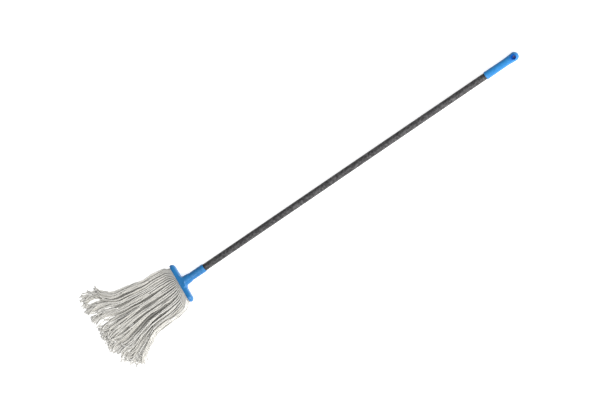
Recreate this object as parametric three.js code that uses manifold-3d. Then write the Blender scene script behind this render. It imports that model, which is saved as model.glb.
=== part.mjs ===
// A cotton string mop: a fringe of yarn clamped in a moulded header, a coated steel handle that
// screws into the header's hub, and a moulded grip with a hanging eye.
//
// Millimetres, +Z up. The mop lies flat. X runs along the handle, from the yarn to the eye. While
// it is modelled, x = 0 is the header's mouth and the handle's axis is the X axis. The whole group
// is moved at the end, so that its origin is the middle of its base.
import * as THREE from "three";
import { mergeVertices } from "three/addons/utils/BufferGeometryUtils.js";
import Module from "manifold-3d";

const wasm = await Module();
wasm.setup();

// ---- Clearances ----
const fitGap = 0.3; // between pieces that touch
const threadGap = 0.4; // between the two threads' crests
const cutPast = 1; // how far a cutter runs past what it cuts

// ---- Header cap: a stadium-shaped shell, open towards the yarn ----
const headerWidth = 134;
const headerDepth = 30.6;
const headerWall = 2.2;
const ceilingWall = 2.2;
const skirtHeight = 6.5;
const roofHeight = 7;
const crestDepth = 15;
const rimRound = 0.8;

// ---- Hub: the threaded socket on the header cap ----
const hubLength = 25.5;
const hubMouthDiameter = 27;
const hubRootDiameter = 30.2;
const hubFlare = 8;
const hubLip = 4;

// ---- Screw thread between the adapter and the hub ----
const threadDiameter = 19.6;
const threadDepth = 1.3;
const threadPitch = 4.5;
const threadTurns = 4;
const threadLeadIn = 1.2;

// ---- Thread adapter: sleeve, lip and plug on the tube's end ----
const sleeveDiameter = 25.7;
const sleeveLength = 51;
const lipDiameter = 26.6;
const lipLength = 6;
const lipSetback = 4.5;
const neckDiameter = 25.1;
const neckLength = 4.5;
const socketDepth = 38;
const plugWall = 2.4;

// ---- Handle tube and its coating ----
const coatingDiameter = 22;
const coatingWall = 0.6;
const tubeWall = 0.8;
const bareHandleLength = 1048; // between the adapter and the grip

// ---- Grip cap ----
const gripLength = 120;
const gripDiameter = 25.4;
const collarDiameter = 26;
const collarLength = 5;
const grooveDepth = 0.7;
const grooveWidth = 2.6;
const grooveSetback = 32;
const waistDiameter = 24.5;
const waistSetback = 50;
const eyeDiameter = 28.8;
const flareStart = 80;
const gripBoreDepth = 78;
const eyeHoleDiameter = 11;
const eyeMouthDiameter = 17;
const eyeLeadIn = 7;
const eyeHoleSetback = 16.5; // from the grip's tip
const eyeTurn = 20; // degrees that the hole leans from +Z towards -Y

// ---- Keeper bar and its screws ----
const keeperEndGap = 12; // from each end of the header
const keeperDepth = 6;
const keeperHeight = 4.6;
const keeperSetback = 1.2; // from the header's mouth
const screwInset = 15; // from each end of the keeper
const screwDiameter = 3.5;
const screwHeadDiameter = 7;
const screwHeadHeight = 2;
const screwLength = 9.6;
const screwPadWall = 1.4; // keeper material round a screw's head
const bossDiameter = 7.6;

// ---- Yarn ----
const yarnEase = 0.6; // between the pinched yarn and the header's walls
const yarnRun = 292; // from the header's mouth to the longest ends
const rootGap = 6.5; // from the mouth to where the loose locks start
const upperLocks = 8;
const underLocks = 7;
const lockGap = 0.8;
const layerGap = 0.5;
const endShortening = 0.13; // share of the run by which the outermost locks end early
const endRagged = 7;
// How far each edge of the fan stands past the header's end, from the locks' start to their ends.
const fanSpread = [-4, 11, 15, 21, 30, 56, 85];
// How much thinner than at the header the fringe is, from the locks' start to their ends.
const fringeThinning = [0, 1, 4, 7, 9, 11, 14];

// ---- Facets ----
const roundSides = 32;
const threadSides = 16;
const threadStepsPerTurn = 5;
const lockSides = 10;
const lockSteps = 8;
const arcSteps = 5;

// ---- Derived places along X ----
const crestX = skirtHeight + roofHeight;
const ceilingX = crestX - ceilingWall;
const hubMouthX = crestX + hubLength;
const sleeveStartX = hubMouthX + fitGap;
const sleeveEndX = sleeveStartX + sleeveLength;
const threadLength = threadPitch * threadTurns;
const threadTipX = sleeveStartX - threadLength - threadLeadIn;
const hubFloorX = threadTipX - fitGap;
const socketFloorX = sleeveEndX - socketDepth;
const tubeStartX = socketFloorX + fitGap;
const gripMouthX = sleeveEndX + bareHandleLength;
const gripTipX = gripMouthX + gripLength;
const tubeEndX = gripMouthX + gripBoreDepth - fitGap;
const eyeX = gripTipX - eyeHoleSetback;
const keeperMouthX = keeperSetback;
const keeperBackX = keeperMouthX + keeperHeight;
const keeperWidth = headerWidth - 2 * keeperEndGap;
const screwY = keeperWidth / 2 - screwInset;

// ---- Derived radii and half sizes ----
const coatingRadius = coatingDiameter / 2;
const tubeRadius = coatingRadius - coatingWall - fitGap;
const tubeBoreRadius = tubeRadius - tubeWall;
const socketRadius = coatingRadius + fitGap;
const plugRadius = tubeBoreRadius - fitGap;
const threadRadius = threadDiameter / 2;
const straightHalf = (headerWidth - headerDepth) / 2;
const cavityHalfDepth = headerDepth / 2 - headerWall;
const ceilingHalfDepth = (headerDepth + crestDepth) / 4 - headerWall;
const yarnHalfDepth = cavityHalfDepth - yarnEase;
const screwPadRadius = screwHeadDiameter / 2 + screwPadWall;

// ---- Finishes ----
const finishes = {
  blue: { color: 0x2f86d6, roughness: 0.38, metalness: 0 },
  steel: { color: 0x8f9296, roughness: 0.35, metalness: 0.9 },
  coating: { color: 0x4a4a4e, roughness: 0.5, metalness: 0 },
  zinc: { color: 0xb9bcc0, roughness: 0.3, metalness: 0.9 },
  keeper: { color: 0x2a6fb4, roughness: 0.5, metalness: 0 },
  cotton: { color: 0xd2cfc6, roughness: 0.95, metalness: 0 },
};

// ---- Shape helpers ----

/** Points of a circular arc in a turned profile, each [x, radius]. Angles are in degrees. */
function arc(centreX, centreRadius, size, from, to) {
  const points = [];
  for (let i = 0; i <= arcSteps; i += 1) {
    const angle = THREE.MathUtils.degToRad(from + ((to - from) * i) / arcSteps);
    points.push([centreX + size * Math.cos(angle), centreRadius + size * Math.sin(angle)]);
  }
  return points;
}

/** Turns a profile of [x, radius] points about the X axis. */
function turned(profile, sides = roundSides) {
  const points = profile.map(([x, radius]) => new THREE.Vector2(radius, x));
  const geometry = new THREE.LatheGeometry(points, sides, Math.PI / sides);
  return geometry.rotateZ(-Math.PI / 2);
}

/**
 * Turns a profile about the X axis and pulls it apart along Y, so that its round outline becomes a
 * stadium. Its radii are grown to the facets' corners, so the two flat sides lie at the true depth.
 */
function stadium(profile, half, sides = roundSides) {
  const grown = 1 / Math.cos(Math.PI / sides);
  const geometry = turned(profile, sides).scale(1, grown, grown);
  const position = geometry.getAttribute("position");
  for (let i = 0; i < position.count; i += 1) {
    const y = position.getY(i);
    const side = Math.abs(y) < 1e-6 ? 0 : Math.sign(y);
    position.setY(i, y + side * half);
  }
  return geometry;
}

/** A block given by its lowest and highest corners. */
function block(low, high) {
  const size = high.map((value, axis) => value - low[axis]);
  const middle = high.map((value, axis) => (value + low[axis]) / 2);
  return new THREE.BoxGeometry(...size).translate(...middle);
}

/** A plain rod along X. */
function rod(radius, startX, endX, sides = roundSides) {
  return turned([[startX, 0], [startX, radius], [endX, radius], [endX, 0]], sides);
}

/** Makes a solid for cutting and joining from a closed geometry. */
function toSolid(geometry) {
  const bare = geometry.clone();
  bare.deleteAttribute("normal");
  bare.deleteAttribute("uv");
  const merged = mergeVertices(bare);
  const index = merged.getIndex().array;
  const corners = [];
  for (let i = 0; i < index.length; i += 3) {
    const [a, b, c] = [index[i], index[i + 1], index[i + 2]];
    if (a !== b && b !== c && c !== a) {
      corners.push(a, b, c);
    }
  }
  const vertProperties = new Float32Array(merged.getAttribute("position").array);
  const mesh = new wasm.Mesh({ numProp: 3, vertProperties, triVerts: new Uint32Array(corners) });
  return new wasm.Manifold(mesh);
}

/** Turns a solid back into a geometry. */
function toGeometry(solid) {
  const mesh = solid.getMesh();
  const geometry = new THREE.BufferGeometry();
  geometry.setAttribute("position", new THREE.BufferAttribute(mesh.vertProperties, 3));
  geometry.setIndex(new THREE.BufferAttribute(mesh.triVerts, 1));
  return geometry;
}

/** A named mesh with its finish. */
function piece(name, geometry, finish) {
  const mesh = new THREE.Mesh(geometry, new THREE.MeshStandardMaterial(finishes[finish]));
  mesh.name = name;
  return mesh;
}

/** How deep the groove between two crests is, from 0 to 1, for a share of one pitch. */
function grooveShare(phase) {
  const turn = phase - Math.floor(phase);
  const rise = Math.min(turn, 1 - turn) * 2;
  return THREE.MathUtils.clamp((rise - 0.3) / 0.4, 0, 1);
}

/** A threaded rod along X. */
function threadedRod(crestRadius, startX, endX) {
  const steps = Math.round(((endX - startX) / threadPitch) * threadStepsPerTurn);
  const geometry = new THREE.CylinderGeometry(1, 1, endX - startX, threadSides, steps);
  geometry.rotateZ(-Math.PI / 2).translate((startX + endX) / 2, 0, 0);
  const position = geometry.getAttribute("position");
  for (let i = 0; i < position.count; i += 1) {
    const y = position.getY(i);
    const z = position.getZ(i);
    const phase = (position.getX(i) - startX) / threadPitch - Math.atan2(z, y) / (2 * Math.PI);
    const radius = crestRadius - threadDepth * grooveShare(phase);
    position.setY(i, y * radius);
    position.setZ(i, z * radius);
  }
  return geometry;
}

// ---- Header ----

/** The outside of the cross bar: a stadium block with a straight skirt and a sloping roof. */
function crossBar() {
  const half = headerDepth / 2;
  const crestHalf = crestDepth / 2;
  const profile = [
    [0, 0],
    [0, half - rimRound],
    [rimRound, half],
    [skirtHeight, half],
    [skirtHeight + rimRound, half - rimRound / 2],
    [crestX - roofHeight * 0.25, (crestHalf + half) / 2],
    [crestX, crestHalf],
    [crestX, 0],
  ];
  return stadium(profile, straightHalf);
}

/** The room inside the cross bar, open at its mouth. */
function cavity() {
  const profile = [
    [-cutPast, 0],
    [-cutPast, cavityHalfDepth],
    [skirtHeight, cavityHalfDepth],
    [ceilingX, ceilingHalfDepth],
    [ceilingX, 0],
  ];
  return stadium(profile, straightHalf);
}

/** The hub with its flare, flush with the cross bar's two flat sides. */
function hubBody() {
  const mouth = hubMouthDiameter / 2;
  const root = hubRootDiameter / 2;
  const profile = [
    [skirtHeight - rimRound, 0],
    [skirtHeight - rimRound, root + hubFlare * 1.3],
    ...arc(crestX + hubFlare, root + hubFlare, hubFlare, 180, 270),
    [hubMouthX - hubLip, (mouth + root) / 2],
    [hubMouthX - rimRound, mouth],
    [hubMouthX, mouth - rimRound],
    [hubMouthX, 0],
  ];
  const flared = toSolid(turned(profile));
  const half = headerDepth / 2 - rimRound / 2;
  const slab = block([0, -headerWidth, -half], [hubMouthX + cutPast, headerWidth, half]);
  return flared.intersect(toSolid(slab));
}

/** The two posts under the ceiling that the keeper's screws bite into. */
function screwBosses() {
  const bosses = [-1, 1].map((side) => {
    const boss = rod(bossDiameter / 2, keeperBackX + fitGap, ceilingX + headerWall / 2, 20);
    return toSolid(boss.translate(0, side * screwY, 0));
  });
  return bosses[0].add(bosses[1]);
}

function headerCap() {
  const rootRadius = threadRadius + threadGap + threadDepth;
  const mouthBore = rod(rootRadius + threadLeadIn / 4, hubMouthX - threadLeadIn, hubMouthX + cutPast);
  const thread = threadedRod(rootRadius, hubFloorX, hubMouthX - threadLeadIn / 2);
  let solid = toSolid(crossBar()).add(hubBody()).subtract(toSolid(cavity())).add(screwBosses());
  solid = solid.subtract(toSolid(thread)).subtract(toSolid(mouthBore));
  for (const side of [-1, 1]) {
    const pilotRadius = screwDiameter / 2 + fitGap;
    const pilotEnd = keeperMouthX + screwLength + fitGap;
    const pilot = rod(pilotRadius, keeperMouthX, pilotEnd, 16);
    solid = solid.subtract(toSolid(pilot.translate(0, side * screwY, 0)));
  }
  return piece("header_cap", toGeometry(solid), "blue");
}

/** The bar that the yarn is folded over, with two screw holes. */
function keeperBar() {
  const half = keeperDepth / 2;
  const profile = [
    [keeperMouthX, 0],
    [keeperMouthX, half - rimRound],
    [keeperMouthX + rimRound, half],
    [keeperBackX - rimRound, half],
    [keeperBackX, half - rimRound],
    [keeperBackX, 0],
  ];
  let solid = toSolid(stadium(profile, (keeperWidth - keeperDepth) / 2, 24));
  for (const side of [-1, 1]) {
    const y = side * screwY;
    const pad = rod(screwPadRadius, keeperMouthX, keeperBackX, 20);
    solid = solid.add(toSolid(pad.translate(0, y, 0)));
    const headEnd = keeperMouthX + screwHeadHeight + fitGap;
    const head = rod(screwHeadDiameter / 2 + fitGap, keeperMouthX - cutPast, headEnd, 20);
    const shank = rod(screwDiameter / 2 + fitGap, keeperMouthX, keeperBackX + cutPast, 16);
    solid = solid.subtract(toSolid(head.translate(0, y, 0)));
    solid = solid.subtract(toSolid(shank.translate(0, y, 0)));
  }
  return piece("keeper_bar", toGeometry(solid), "keeper");
}

/** One self-tapping screw, its head sunk into the keeper. */
function keeperScrew(name, side) {
  const head = screwHeadDiameter / 2;
  const shank = screwDiameter / 2;
  const startX = keeperMouthX;
  const profile = [
    [startX, 0],
    [startX, head - rimRound / 2],
    [startX + rimRound / 2, head],
    [startX + screwHeadHeight, head],
    [startX + screwHeadHeight, shank],
    [startX + screwLength - shank, shank],
    [startX + screwLength, shank / 3],
    [startX + screwLength, 0],
  ];
  const cross = screwHeadDiameter * 0.28;
  const slot = 0.9;
  let solid = toSolid(turned(profile, 16));
  solid = solid.subtract(toSolid(block([startX - 1, -cross, -slot / 2], [startX + 1, cross, slot / 2])));
  solid = solid.subtract(toSolid(block([startX - 1, -slot / 2, -cross], [startX + 1, slot / 2, cross])));
  const geometry = toGeometry(solid).translate(0, side * screwY, 0);
  return piece(name, geometry, "zinc");
}

// ---- Handle ----

/** The sleeve over the tube's end, with the plug inside the tube and the male thread. */
function threadAdapter() {
  const sleeve = sleeveDiameter / 2;
  const neck = neckDiameter / 2;
  const lip = lipDiameter / 2;
  const lipEndX = sleeveEndX - lipSetback;
  const lipStartX = lipEndX - lipLength;
  const plugBore = plugRadius - plugWall;
  const webX = socketFloorX - plugWall;
  const profile = [
    [sleeveStartX, 0],
    [sleeveStartX, neck - rimRound],
    [sleeveStartX + rimRound, neck],
    [sleeveStartX + neckLength, neck],
    [sleeveStartX + neckLength + rimRound, sleeve],
    [lipStartX, sleeve],
    [lipStartX + rimRound, lip],
    [lipEndX - rimRound, lip],
    [lipEndX, sleeve],
    [sleeveEndX - rimRound, sleeve - rimRound / 2],
    [sleeveEndX, socketRadius + rimRound],
    [sleeveEndX, socketRadius],
    [socketFloorX, socketRadius],
    [socketFloorX, plugRadius],
    [sleeveEndX - plugWall, plugRadius],
    [sleeveEndX, plugRadius - rimRound],
    [sleeveEndX, plugBore],
    [webX, plugBore],
    [webX, 0],
  ];
  const spigot = threadedRod(threadRadius, threadTipX + threadLeadIn, sleeveStartX + cutPast);
  const tipRadius = threadRadius - threadDepth;
  const tip = turned([
    [threadTipX, 0],
    [threadTipX, tipRadius - threadLeadIn],
    [threadTipX + threadLeadIn, tipRadius],
    [sleeveStartX, tipRadius],
    [sleeveStartX, 0],
  ]);
  const solid = toSolid(turned(profile)).add(toSolid(spigot)).add(toSolid(tip));
  return piece("thread_adapter", toGeometry(solid), "blue");
}

/** A tube's wall as a closed profile. */
function pipe(inner, outer, startX, endX) {
  return turned([[startX, inner], [startX, outer], [endX, outer], [endX, inner], [startX, inner]]);
}

function steelTube() {
  return piece("steel_tube", pipe(tubeBoreRadius, tubeRadius, tubeStartX, tubeEndX), "steel");
}

function tubeCoating() {
  const inner = coatingRadius - coatingWall;
  return piece("tube_coating", pipe(inner, coatingRadius, tubeStartX, tubeEndX), "coating");
}

/** The grip's outline, from its mouth to its round tip, then its bore. */
function gripBody() {
  const grip = gripDiameter / 2;
  const collar = collarDiameter / 2;
  const waist = waistDiameter / 2;
  const eye = eyeDiameter / 2;
  const grooveX = gripMouthX + grooveSetback;
  const profile = [
    [gripMouthX, socketRadius],
    [gripMouthX, collar - rimRound],
    [gripMouthX + rimRound, collar],
    [gripMouthX + collarLength - rimRound, collar],
    [gripMouthX + collarLength, grip],
    [grooveX, grip],
    [grooveX + grooveDepth, grip - grooveDepth],
    [grooveX + grooveWidth - grooveDepth, grip - grooveDepth],
    [grooveX + grooveWidth, grip],
    [gripMouthX + waistSetback, waist],
    [gripMouthX + (waistSetback + flareStart) / 2, (waist * 2 + grip) / 3],
    [gripMouthX + flareStart, grip],
    [gripMouthX + flareStart + (gripLength - flareStart - eye) / 2, (grip + eye) / 2],
    ...arc(gripTipX - eye, 0, eye, 90, 0).slice(0, -1),
    [gripTipX, 0],
    [gripMouthX + gripBoreDepth, 0],
    [gripMouthX + gripBoreDepth, socketRadius],
    [gripMouthX, socketRadius],
  ];
  return toSolid(turned(profile));
}

/** The cutter for the hanging hole: a round bore with a flared mouth at each end, along Z. */
function eyeCutter() {
  const reach = eyeDiameter / 2 + cutPast;
  const bore = eyeHoleDiameter / 2;
  const mouth = eyeMouthDiameter / 2;
  const flare = eyeLeadIn;
  const halfProfile = [
    [reach, mouth + cutPast],
    [eyeDiameter / 2 - flare * 0.25, mouth - (mouth - bore) * 0.35],
    [eyeDiameter / 2 - flare * 0.6, bore + (mouth - bore) * 0.2],
    [eyeDiameter / 2 - flare, bore],
  ];
  const mirrored = halfProfile.map(([x, radius]) => [-x, radius]);
  const profile = [[-reach, 0], ...mirrored, ...halfProfile.reverse(), [reach, 0]];
  return turned(profile, 28).rotateY(-Math.PI / 2);
}

function gripCap() {
  const lean = THREE.MathUtils.degToRad(eyeTurn);
  const cutter = eyeCutter().rotateX(lean).translate(eyeX, 0, 0);
  const solid = gripBody().subtract(toSolid(cutter));
  return piece("grip_cap", toGeometry(solid), "blue");
}

// ---- Yarn ----

/** A value part of the way along an evenly spaced list, smoothly joined. */
function along(values, share) {
  const curve = new THREE.SplineCurve(values.map((value, i) => new THREE.Vector2(i, value)));
  return curve.getPoint(share).y;
}

/** The yarn pinched inside the header: it fills the cavity round the keeper, less two boss holes. */
function yarnFold() {
  const half = yarnHalfDepth;
  const top = ceilingX - fitGap;
  const outline = [
    [0, 0],
    [0, half],
    [skirtHeight - fitGap, half],
    [top, ceilingHalfDepth - yarnEase],
    [top, 0],
  ];
  let solid = toSolid(stadium(outline, straightHalf, 24));
  const keeperRoom = keeperDepth / 2 + fitGap;
  const roomHalf = keeperWidth / 2 + fitGap;
  const room = [[-cutPast, 0], [-cutPast, keeperRoom], [keeperBackX + fitGap, keeperRoom]];
  room.push([keeperBackX + fitGap, 0]);
  solid = solid.subtract(toSolid(stadium(room, roomHalf - keeperRoom, 24)));
  for (const side of [-1, 1]) {
    const hole = rod(screwPadRadius + fitGap, -cutPast, ceilingX + cutPast, 20);
    solid = solid.subtract(toSolid(hole.translate(0, side * screwY, 0)));
  }
  return piece("yarn_fold", toGeometry(solid), "cotton");
}

/** The height of the fringe's underside: level with the header at first, then on the floor. */
function undersideZ(share) {
  const floorZ = -headerDepth / 2;
  return THREE.MathUtils.lerp(-yarnHalfDepth, floorZ, THREE.MathUtils.smoothstep(share, 0, 0.18));
}

/** One lock of yarn: a soft strip of the fan, bent with it and thinning to its ragged end. */
function yarnLock(name, index, count, upper) {
  const middle = ((index + 0.5) / count) * 2 - 1;
  const halfShare = 1 / count;
  const ragged = endRagged * Math.sin(index * 2.4 + (upper ? 0 : 1));
  const run = (yarnRun - rootGap) * (1 - endShortening * middle * middle) - endRagged + ragged;
  const geometry = new THREE.CylinderGeometry(1, 1, 1, lockSides, lockSteps);
  const position = geometry.getAttribute("position");
  for (let i = 0; i < position.count; i += 1) {
    const share = 0.5 - position.getY(i);
    const across = -position.getX(i);
    const through = position.getZ(i);
    const squareAcross = Math.sign(across) * Math.abs(across) ** 0.6;
    const squareThrough = Math.sign(through) * Math.abs(through) ** 0.6;
    const halfWidth = headerWidth / 2 + along(fanSpread, share);
    const depth = 2 * yarnHalfDepth - along(fringeThinning, share);
    const base = undersideZ(share);
    const low = upper ? base + depth / 2 + layerGap / 2 : base;
    const high = upper ? base + depth : base + depth / 2 - layerGap / 2;
    const y = middle * halfWidth + squareAcross * (halfShare * halfWidth - lockGap / 2);
    const z = (low + high) / 2 + (squareThrough * (high - low)) / 2;
    position.setXYZ(i, -rootGap - share * run, y, z);
  }
  return piece(name, geometry, "cotton");
}

// ---- The whole mop ----

function mop() {
  const group = new THREE.Group();
  group.add(headerCap(), keeperBar(), keeperScrew("keeper_screw_left", 1));
  group.add(keeperScrew("keeper_screw_right", -1), yarnFold());
  for (let i = 0; i < upperLocks; i += 1) {
    group.add(yarnLock(`yarn_lock_upper_${i + 1}`, i, upperLocks, true));
  }
  for (let i = 0; i < underLocks; i += 1) {
    group.add(yarnLock(`yarn_lock_under_${i + 1}`, i, underLocks, false));
  }
  group.add(threadAdapter(), steelTube(), tubeCoating(), gripCap());
  const box = new THREE.Box3().setFromObject(group);
  const middle = box.getCenter(new THREE.Vector3());
  group.position.set(-middle.x, -middle.y, -box.min.z);
  return group;
}

export default mop();
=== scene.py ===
"""A cotton string mop that lies flat on a pale studio floor.

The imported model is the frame: it gives every piece its place. This script makes the finished
surfaces round it: the moulded header, adapter and grip, the ribbed tube coating, and the yarn,
which is laid strand by strand, let down on the floor and then twisted into plied yarn.
"""

import sys

import logging
import math
from collections.abc import Iterator, Sequence
from contextlib import contextmanager
from dataclasses import dataclass, field
from enum import Enum

import bpy
import numpy as np
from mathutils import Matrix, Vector


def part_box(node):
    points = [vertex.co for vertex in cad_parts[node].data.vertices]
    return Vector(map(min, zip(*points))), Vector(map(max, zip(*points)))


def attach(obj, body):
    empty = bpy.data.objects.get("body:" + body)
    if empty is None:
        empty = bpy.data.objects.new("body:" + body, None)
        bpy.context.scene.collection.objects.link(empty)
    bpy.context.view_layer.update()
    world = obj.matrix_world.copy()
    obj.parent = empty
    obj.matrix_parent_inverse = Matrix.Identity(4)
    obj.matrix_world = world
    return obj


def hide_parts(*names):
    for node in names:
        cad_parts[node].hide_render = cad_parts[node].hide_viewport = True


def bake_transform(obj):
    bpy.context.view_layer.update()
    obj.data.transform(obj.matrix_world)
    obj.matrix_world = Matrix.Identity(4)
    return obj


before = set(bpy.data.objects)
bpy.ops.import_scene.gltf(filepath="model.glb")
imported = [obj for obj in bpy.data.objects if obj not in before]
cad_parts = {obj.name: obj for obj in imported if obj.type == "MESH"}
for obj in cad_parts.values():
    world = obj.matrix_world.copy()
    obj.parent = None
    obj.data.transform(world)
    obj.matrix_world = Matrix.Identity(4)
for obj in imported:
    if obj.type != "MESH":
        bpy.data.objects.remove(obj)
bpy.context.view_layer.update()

log = logging.getLogger("mop")

Point = tuple[float, float]
Profile = Sequence[Point]
Colour = tuple[float, float, float]
Socket = bpy.types.NodeSocket


class Body(Enum):
    """The bodies that a piece can ride on."""

    HEAD = "head"
    FRINGE = "fringe"
    ADAPTER = "adapter"
    HANDLE = "handle"


class Slot(Enum):
    """The material slots of the record."""

    BLUE = "moulded_blue"
    KEEPER = "keeper_plastic"
    ZINC = "screw_zinc"
    STEEL = "tube_steel"
    SKIN = "tube_skin"
    COTTON = "cotton_yarn"


# ---------------------------------------------------------------------------
# Working on meshes by hand
# ---------------------------------------------------------------------------


def deselect_all() -> None:
    """Deselect every object."""
    for item in bpy.context.selected_objects:
        item.select_set(False)


def pick(piece: bpy.types.Object, *others: bpy.types.Object) -> None:
    """Select only the given pieces, and make the first one active.

    Args:
        piece: The piece to make active.
        *others: The other pieces to select.
    """
    deselect_all()
    for item in (piece, *others):
        item.select_set(True)
    bpy.context.view_layer.objects.active = piece


@contextmanager
def editing(piece: bpy.types.Object) -> Iterator[None]:
    """Work on one piece in edit mode, with all of it selected at first.

    Args:
        piece: The mesh object to edit.
    """
    pick(piece)
    bpy.ops.object.mode_set(mode="EDIT")
    bpy.ops.mesh.select_all(action="SELECT")
    try:
        yield
    finally:
        bpy.ops.object.mode_set(mode="OBJECT")


def settle_place(piece: bpy.types.Object) -> None:
    """Move a piece's place, turn and scale into its mesh."""
    pick(piece)
    bpy.ops.object.transform_apply(location=True, rotation=True, scale=True)


def apply_modifier(piece: bpy.types.Object, kind: str, **settings: object) -> None:
    """Add a modifier and apply it at once.

    Args:
        piece: The mesh object to change.
        kind: The modifier's type, such as "BEVEL".
        **settings: The modifier's own values.
    """
    modifier = piece.modifiers.new(kind.lower(), kind)
    for name, value in settings.items():
        setattr(modifier, name, value)
    pick(piece)
    bpy.ops.object.modifier_apply(modifier=modifier.name)


def combine(piece: bpy.types.Object, tool: bpy.types.Object, operation: str) -> None:
    """Join or cut one piece with another, which is used up.

    Args:
        piece: The piece that stays.
        tool: The piece that joins it or cuts it.
        operation: "UNION" or "DIFFERENCE".
    """
    apply_modifier(piece, "BOOLEAN", object=tool, operation=operation, solver="EXACT")
    bpy.data.objects.remove(tool)


def recalculate_normals(piece: bpy.types.Object) -> None:
    """Merge doubled points and turn every face outwards."""
    with editing(piece):
        bpy.ops.mesh.remove_doubles(threshold=1e-5)
        bpy.ops.mesh.normals_make_consistent(inside=False)


def smooth_by_angle(piece: bpy.types.Object, degrees: float) -> None:
    """Shade a piece smooth, except across edges sharper than an angle."""
    pick(piece)
    bpy.ops.object.shade_smooth_by_angle(angle=math.radians(degrees))


def turned(profile: Profile, height: float, sides: int = 96, closed: bool = False) -> bpy.types.Object:
    """Model a round piece about the handle's axis, by extruding a ring from station to station.

    Args:
        profile: The stations, each a place along X and a radius, in metres.
        height: The height of the axis above the floor.
        sides: The number of sides of a ring.
        closed: Whether the last ring meets the first. If not, both ends are closed with a face.

    Returns:
        The new mesh object.
    """
    start, radius = profile[0]
    deselect_all()
    bpy.ops.mesh.primitive_circle_add(
        vertices=sides,
        radius=radius,
        fill_type="NOTHING" if closed else "NGON",
        location=(start, 0, height),
        rotation=(0, math.pi / 2, 0),
    )
    piece = bpy.context.object
    with editing(piece):
        for (x0, r0), (x1, r1) in zip(profile, profile[1:]):
            if closed:
                bpy.ops.mesh.extrude_edges_move()
            else:
                bpy.ops.mesh.extrude_region_move()
            bpy.ops.transform.translate(value=(x1 - x0, 0, 0))
            ratio = r1 / r0
            bpy.ops.transform.resize(value=(1, ratio, ratio), center_override=(x1, 0, height))
        if closed:
            bpy.ops.mesh.select_all(action="DESELECT")
            bpy.ops.mesh.select_non_manifold()
            bpy.ops.mesh.bridge_edge_loops()
    settle_place(piece)
    recalculate_normals(piece)
    return piece


def arc(centre: Point, size: float, start: float, end: float, steps: int) -> list[Point]:
    """Points of a circular arc in a profile.

    Args:
        centre: The arc's centre, as a place along X and a radius.
        size: The arc's own radius.
        start: The angle of the first point, in degrees from +X.
        end: The angle of the last point.
        steps: The number of steps between them.

    Returns:
        The points, each a place along X and a radius.
    """
    angles = [math.radians(start + (end - start) * i / steps) for i in range(steps + 1)]
    return [(centre[0] + size * math.cos(a), centre[1] + size * math.sin(a)) for a in angles]


def hand_over(
    piece: bpy.types.Object,
    name: str,
    body: Body,
    material: bpy.types.Material,
    nodes: Sequence[str] = (),
) -> bpy.types.Object:
    """Name a finished piece, dress it and put it on its body.

    Args:
        piece: The finished mesh object.
        name: The piece's name.
        body: The body that it rides on.
        material: Its finish.
        nodes: The nodes of the frame that it stands for.

    Returns:
        The same piece.
    """
    piece.name = name
    piece.data.name = name
    piece.data.materials.clear()
    piece.data.materials.append(material)
    if nodes:
        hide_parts(*nodes)
    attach(piece, body.value)
    log.info("%s: %d faces", name, len(piece.data.polygons))
    return piece


# ---------------------------------------------------------------------------
# Finishes
# ---------------------------------------------------------------------------


@dataclass
class Nodes:
    """A short way to add and join shader nodes in one tree."""

    tree: bpy.types.NodeTree

    def add(self, kind: str, **values: object) -> bpy.types.Node:
        """Add a node and set its properties.

        Args:
            kind: The node's type name.
            **values: Its properties, or its inputs by name, with _ for a space.

        Returns:
            The new node.
        """
        node = self.tree.nodes.new(kind)
        for name, value in values.items():
            if hasattr(node, name):
                setattr(node, name, value)
            else:
                node.inputs[name.replace("_", " ")].default_value = value
        return node

    def join(self, source: Socket, target: Socket) -> None:
        """Link one socket to another."""
        self.tree.links.new(source, target)

    def ramp(self, factor: Socket, stops: Sequence[tuple[float, Colour]]) -> Socket:
        """Add a colour ramp.

        Args:
            factor: The socket that drives it.
            stops: Its stops, each a place from 0 to 1 and a colour.

        Returns:
            Its colour output.
        """
        node = self.add("ShaderNodeValToRGB")
        elements = node.color_ramp.elements
        while len(elements) < len(stops):
            elements.new(0.5)
        for element, (place, colour) in zip(elements, stops):
            element.position = place
            element.color = (*colour, 1)
        self.join(factor, node.inputs["Fac"])
        return node.outputs["Color"]

    def mixed(
        self,
        factor: Socket,
        first: Socket | Colour,
        second: Socket | Colour,
        blend_type: str = "MIX",
    ) -> Socket:
        """Mix two colours.

        Args:
            factor: How much of the second shows.
            first: A colour, or the socket that it comes from.
            second: A colour, or the socket that it comes from.
            blend_type: How they mix.

        Returns:
            The mixed colour.
        """
        node = self.add("ShaderNodeMix", data_type="RGBA", blend_type=blend_type)
        self.join(factor, node.inputs[0])
        for value, target in ((first, node.inputs[6]), (second, node.inputs[7])):
            if isinstance(value, Socket):
                self.join(value, target)
            else:
                target.default_value = (*value, 1)
        return node.outputs[2]

    def math(self, operation: str, first: Socket | float, second: Socket | float = 0.0) -> Socket:
        """Add a math node.

        Args:
            operation: The sum that it does, such as "MULTIPLY".
            first: A number, or the socket that it comes from.
            second: A number, or the socket that it comes from.

        Returns:
            Its result.
        """
        node = self.add("ShaderNodeMath", operation=operation)
        for value, target in zip((first, second), node.inputs):
            if isinstance(value, Socket):
                self.join(value, target)
            else:
                target.default_value = value
        return node.outputs[0]


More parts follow.
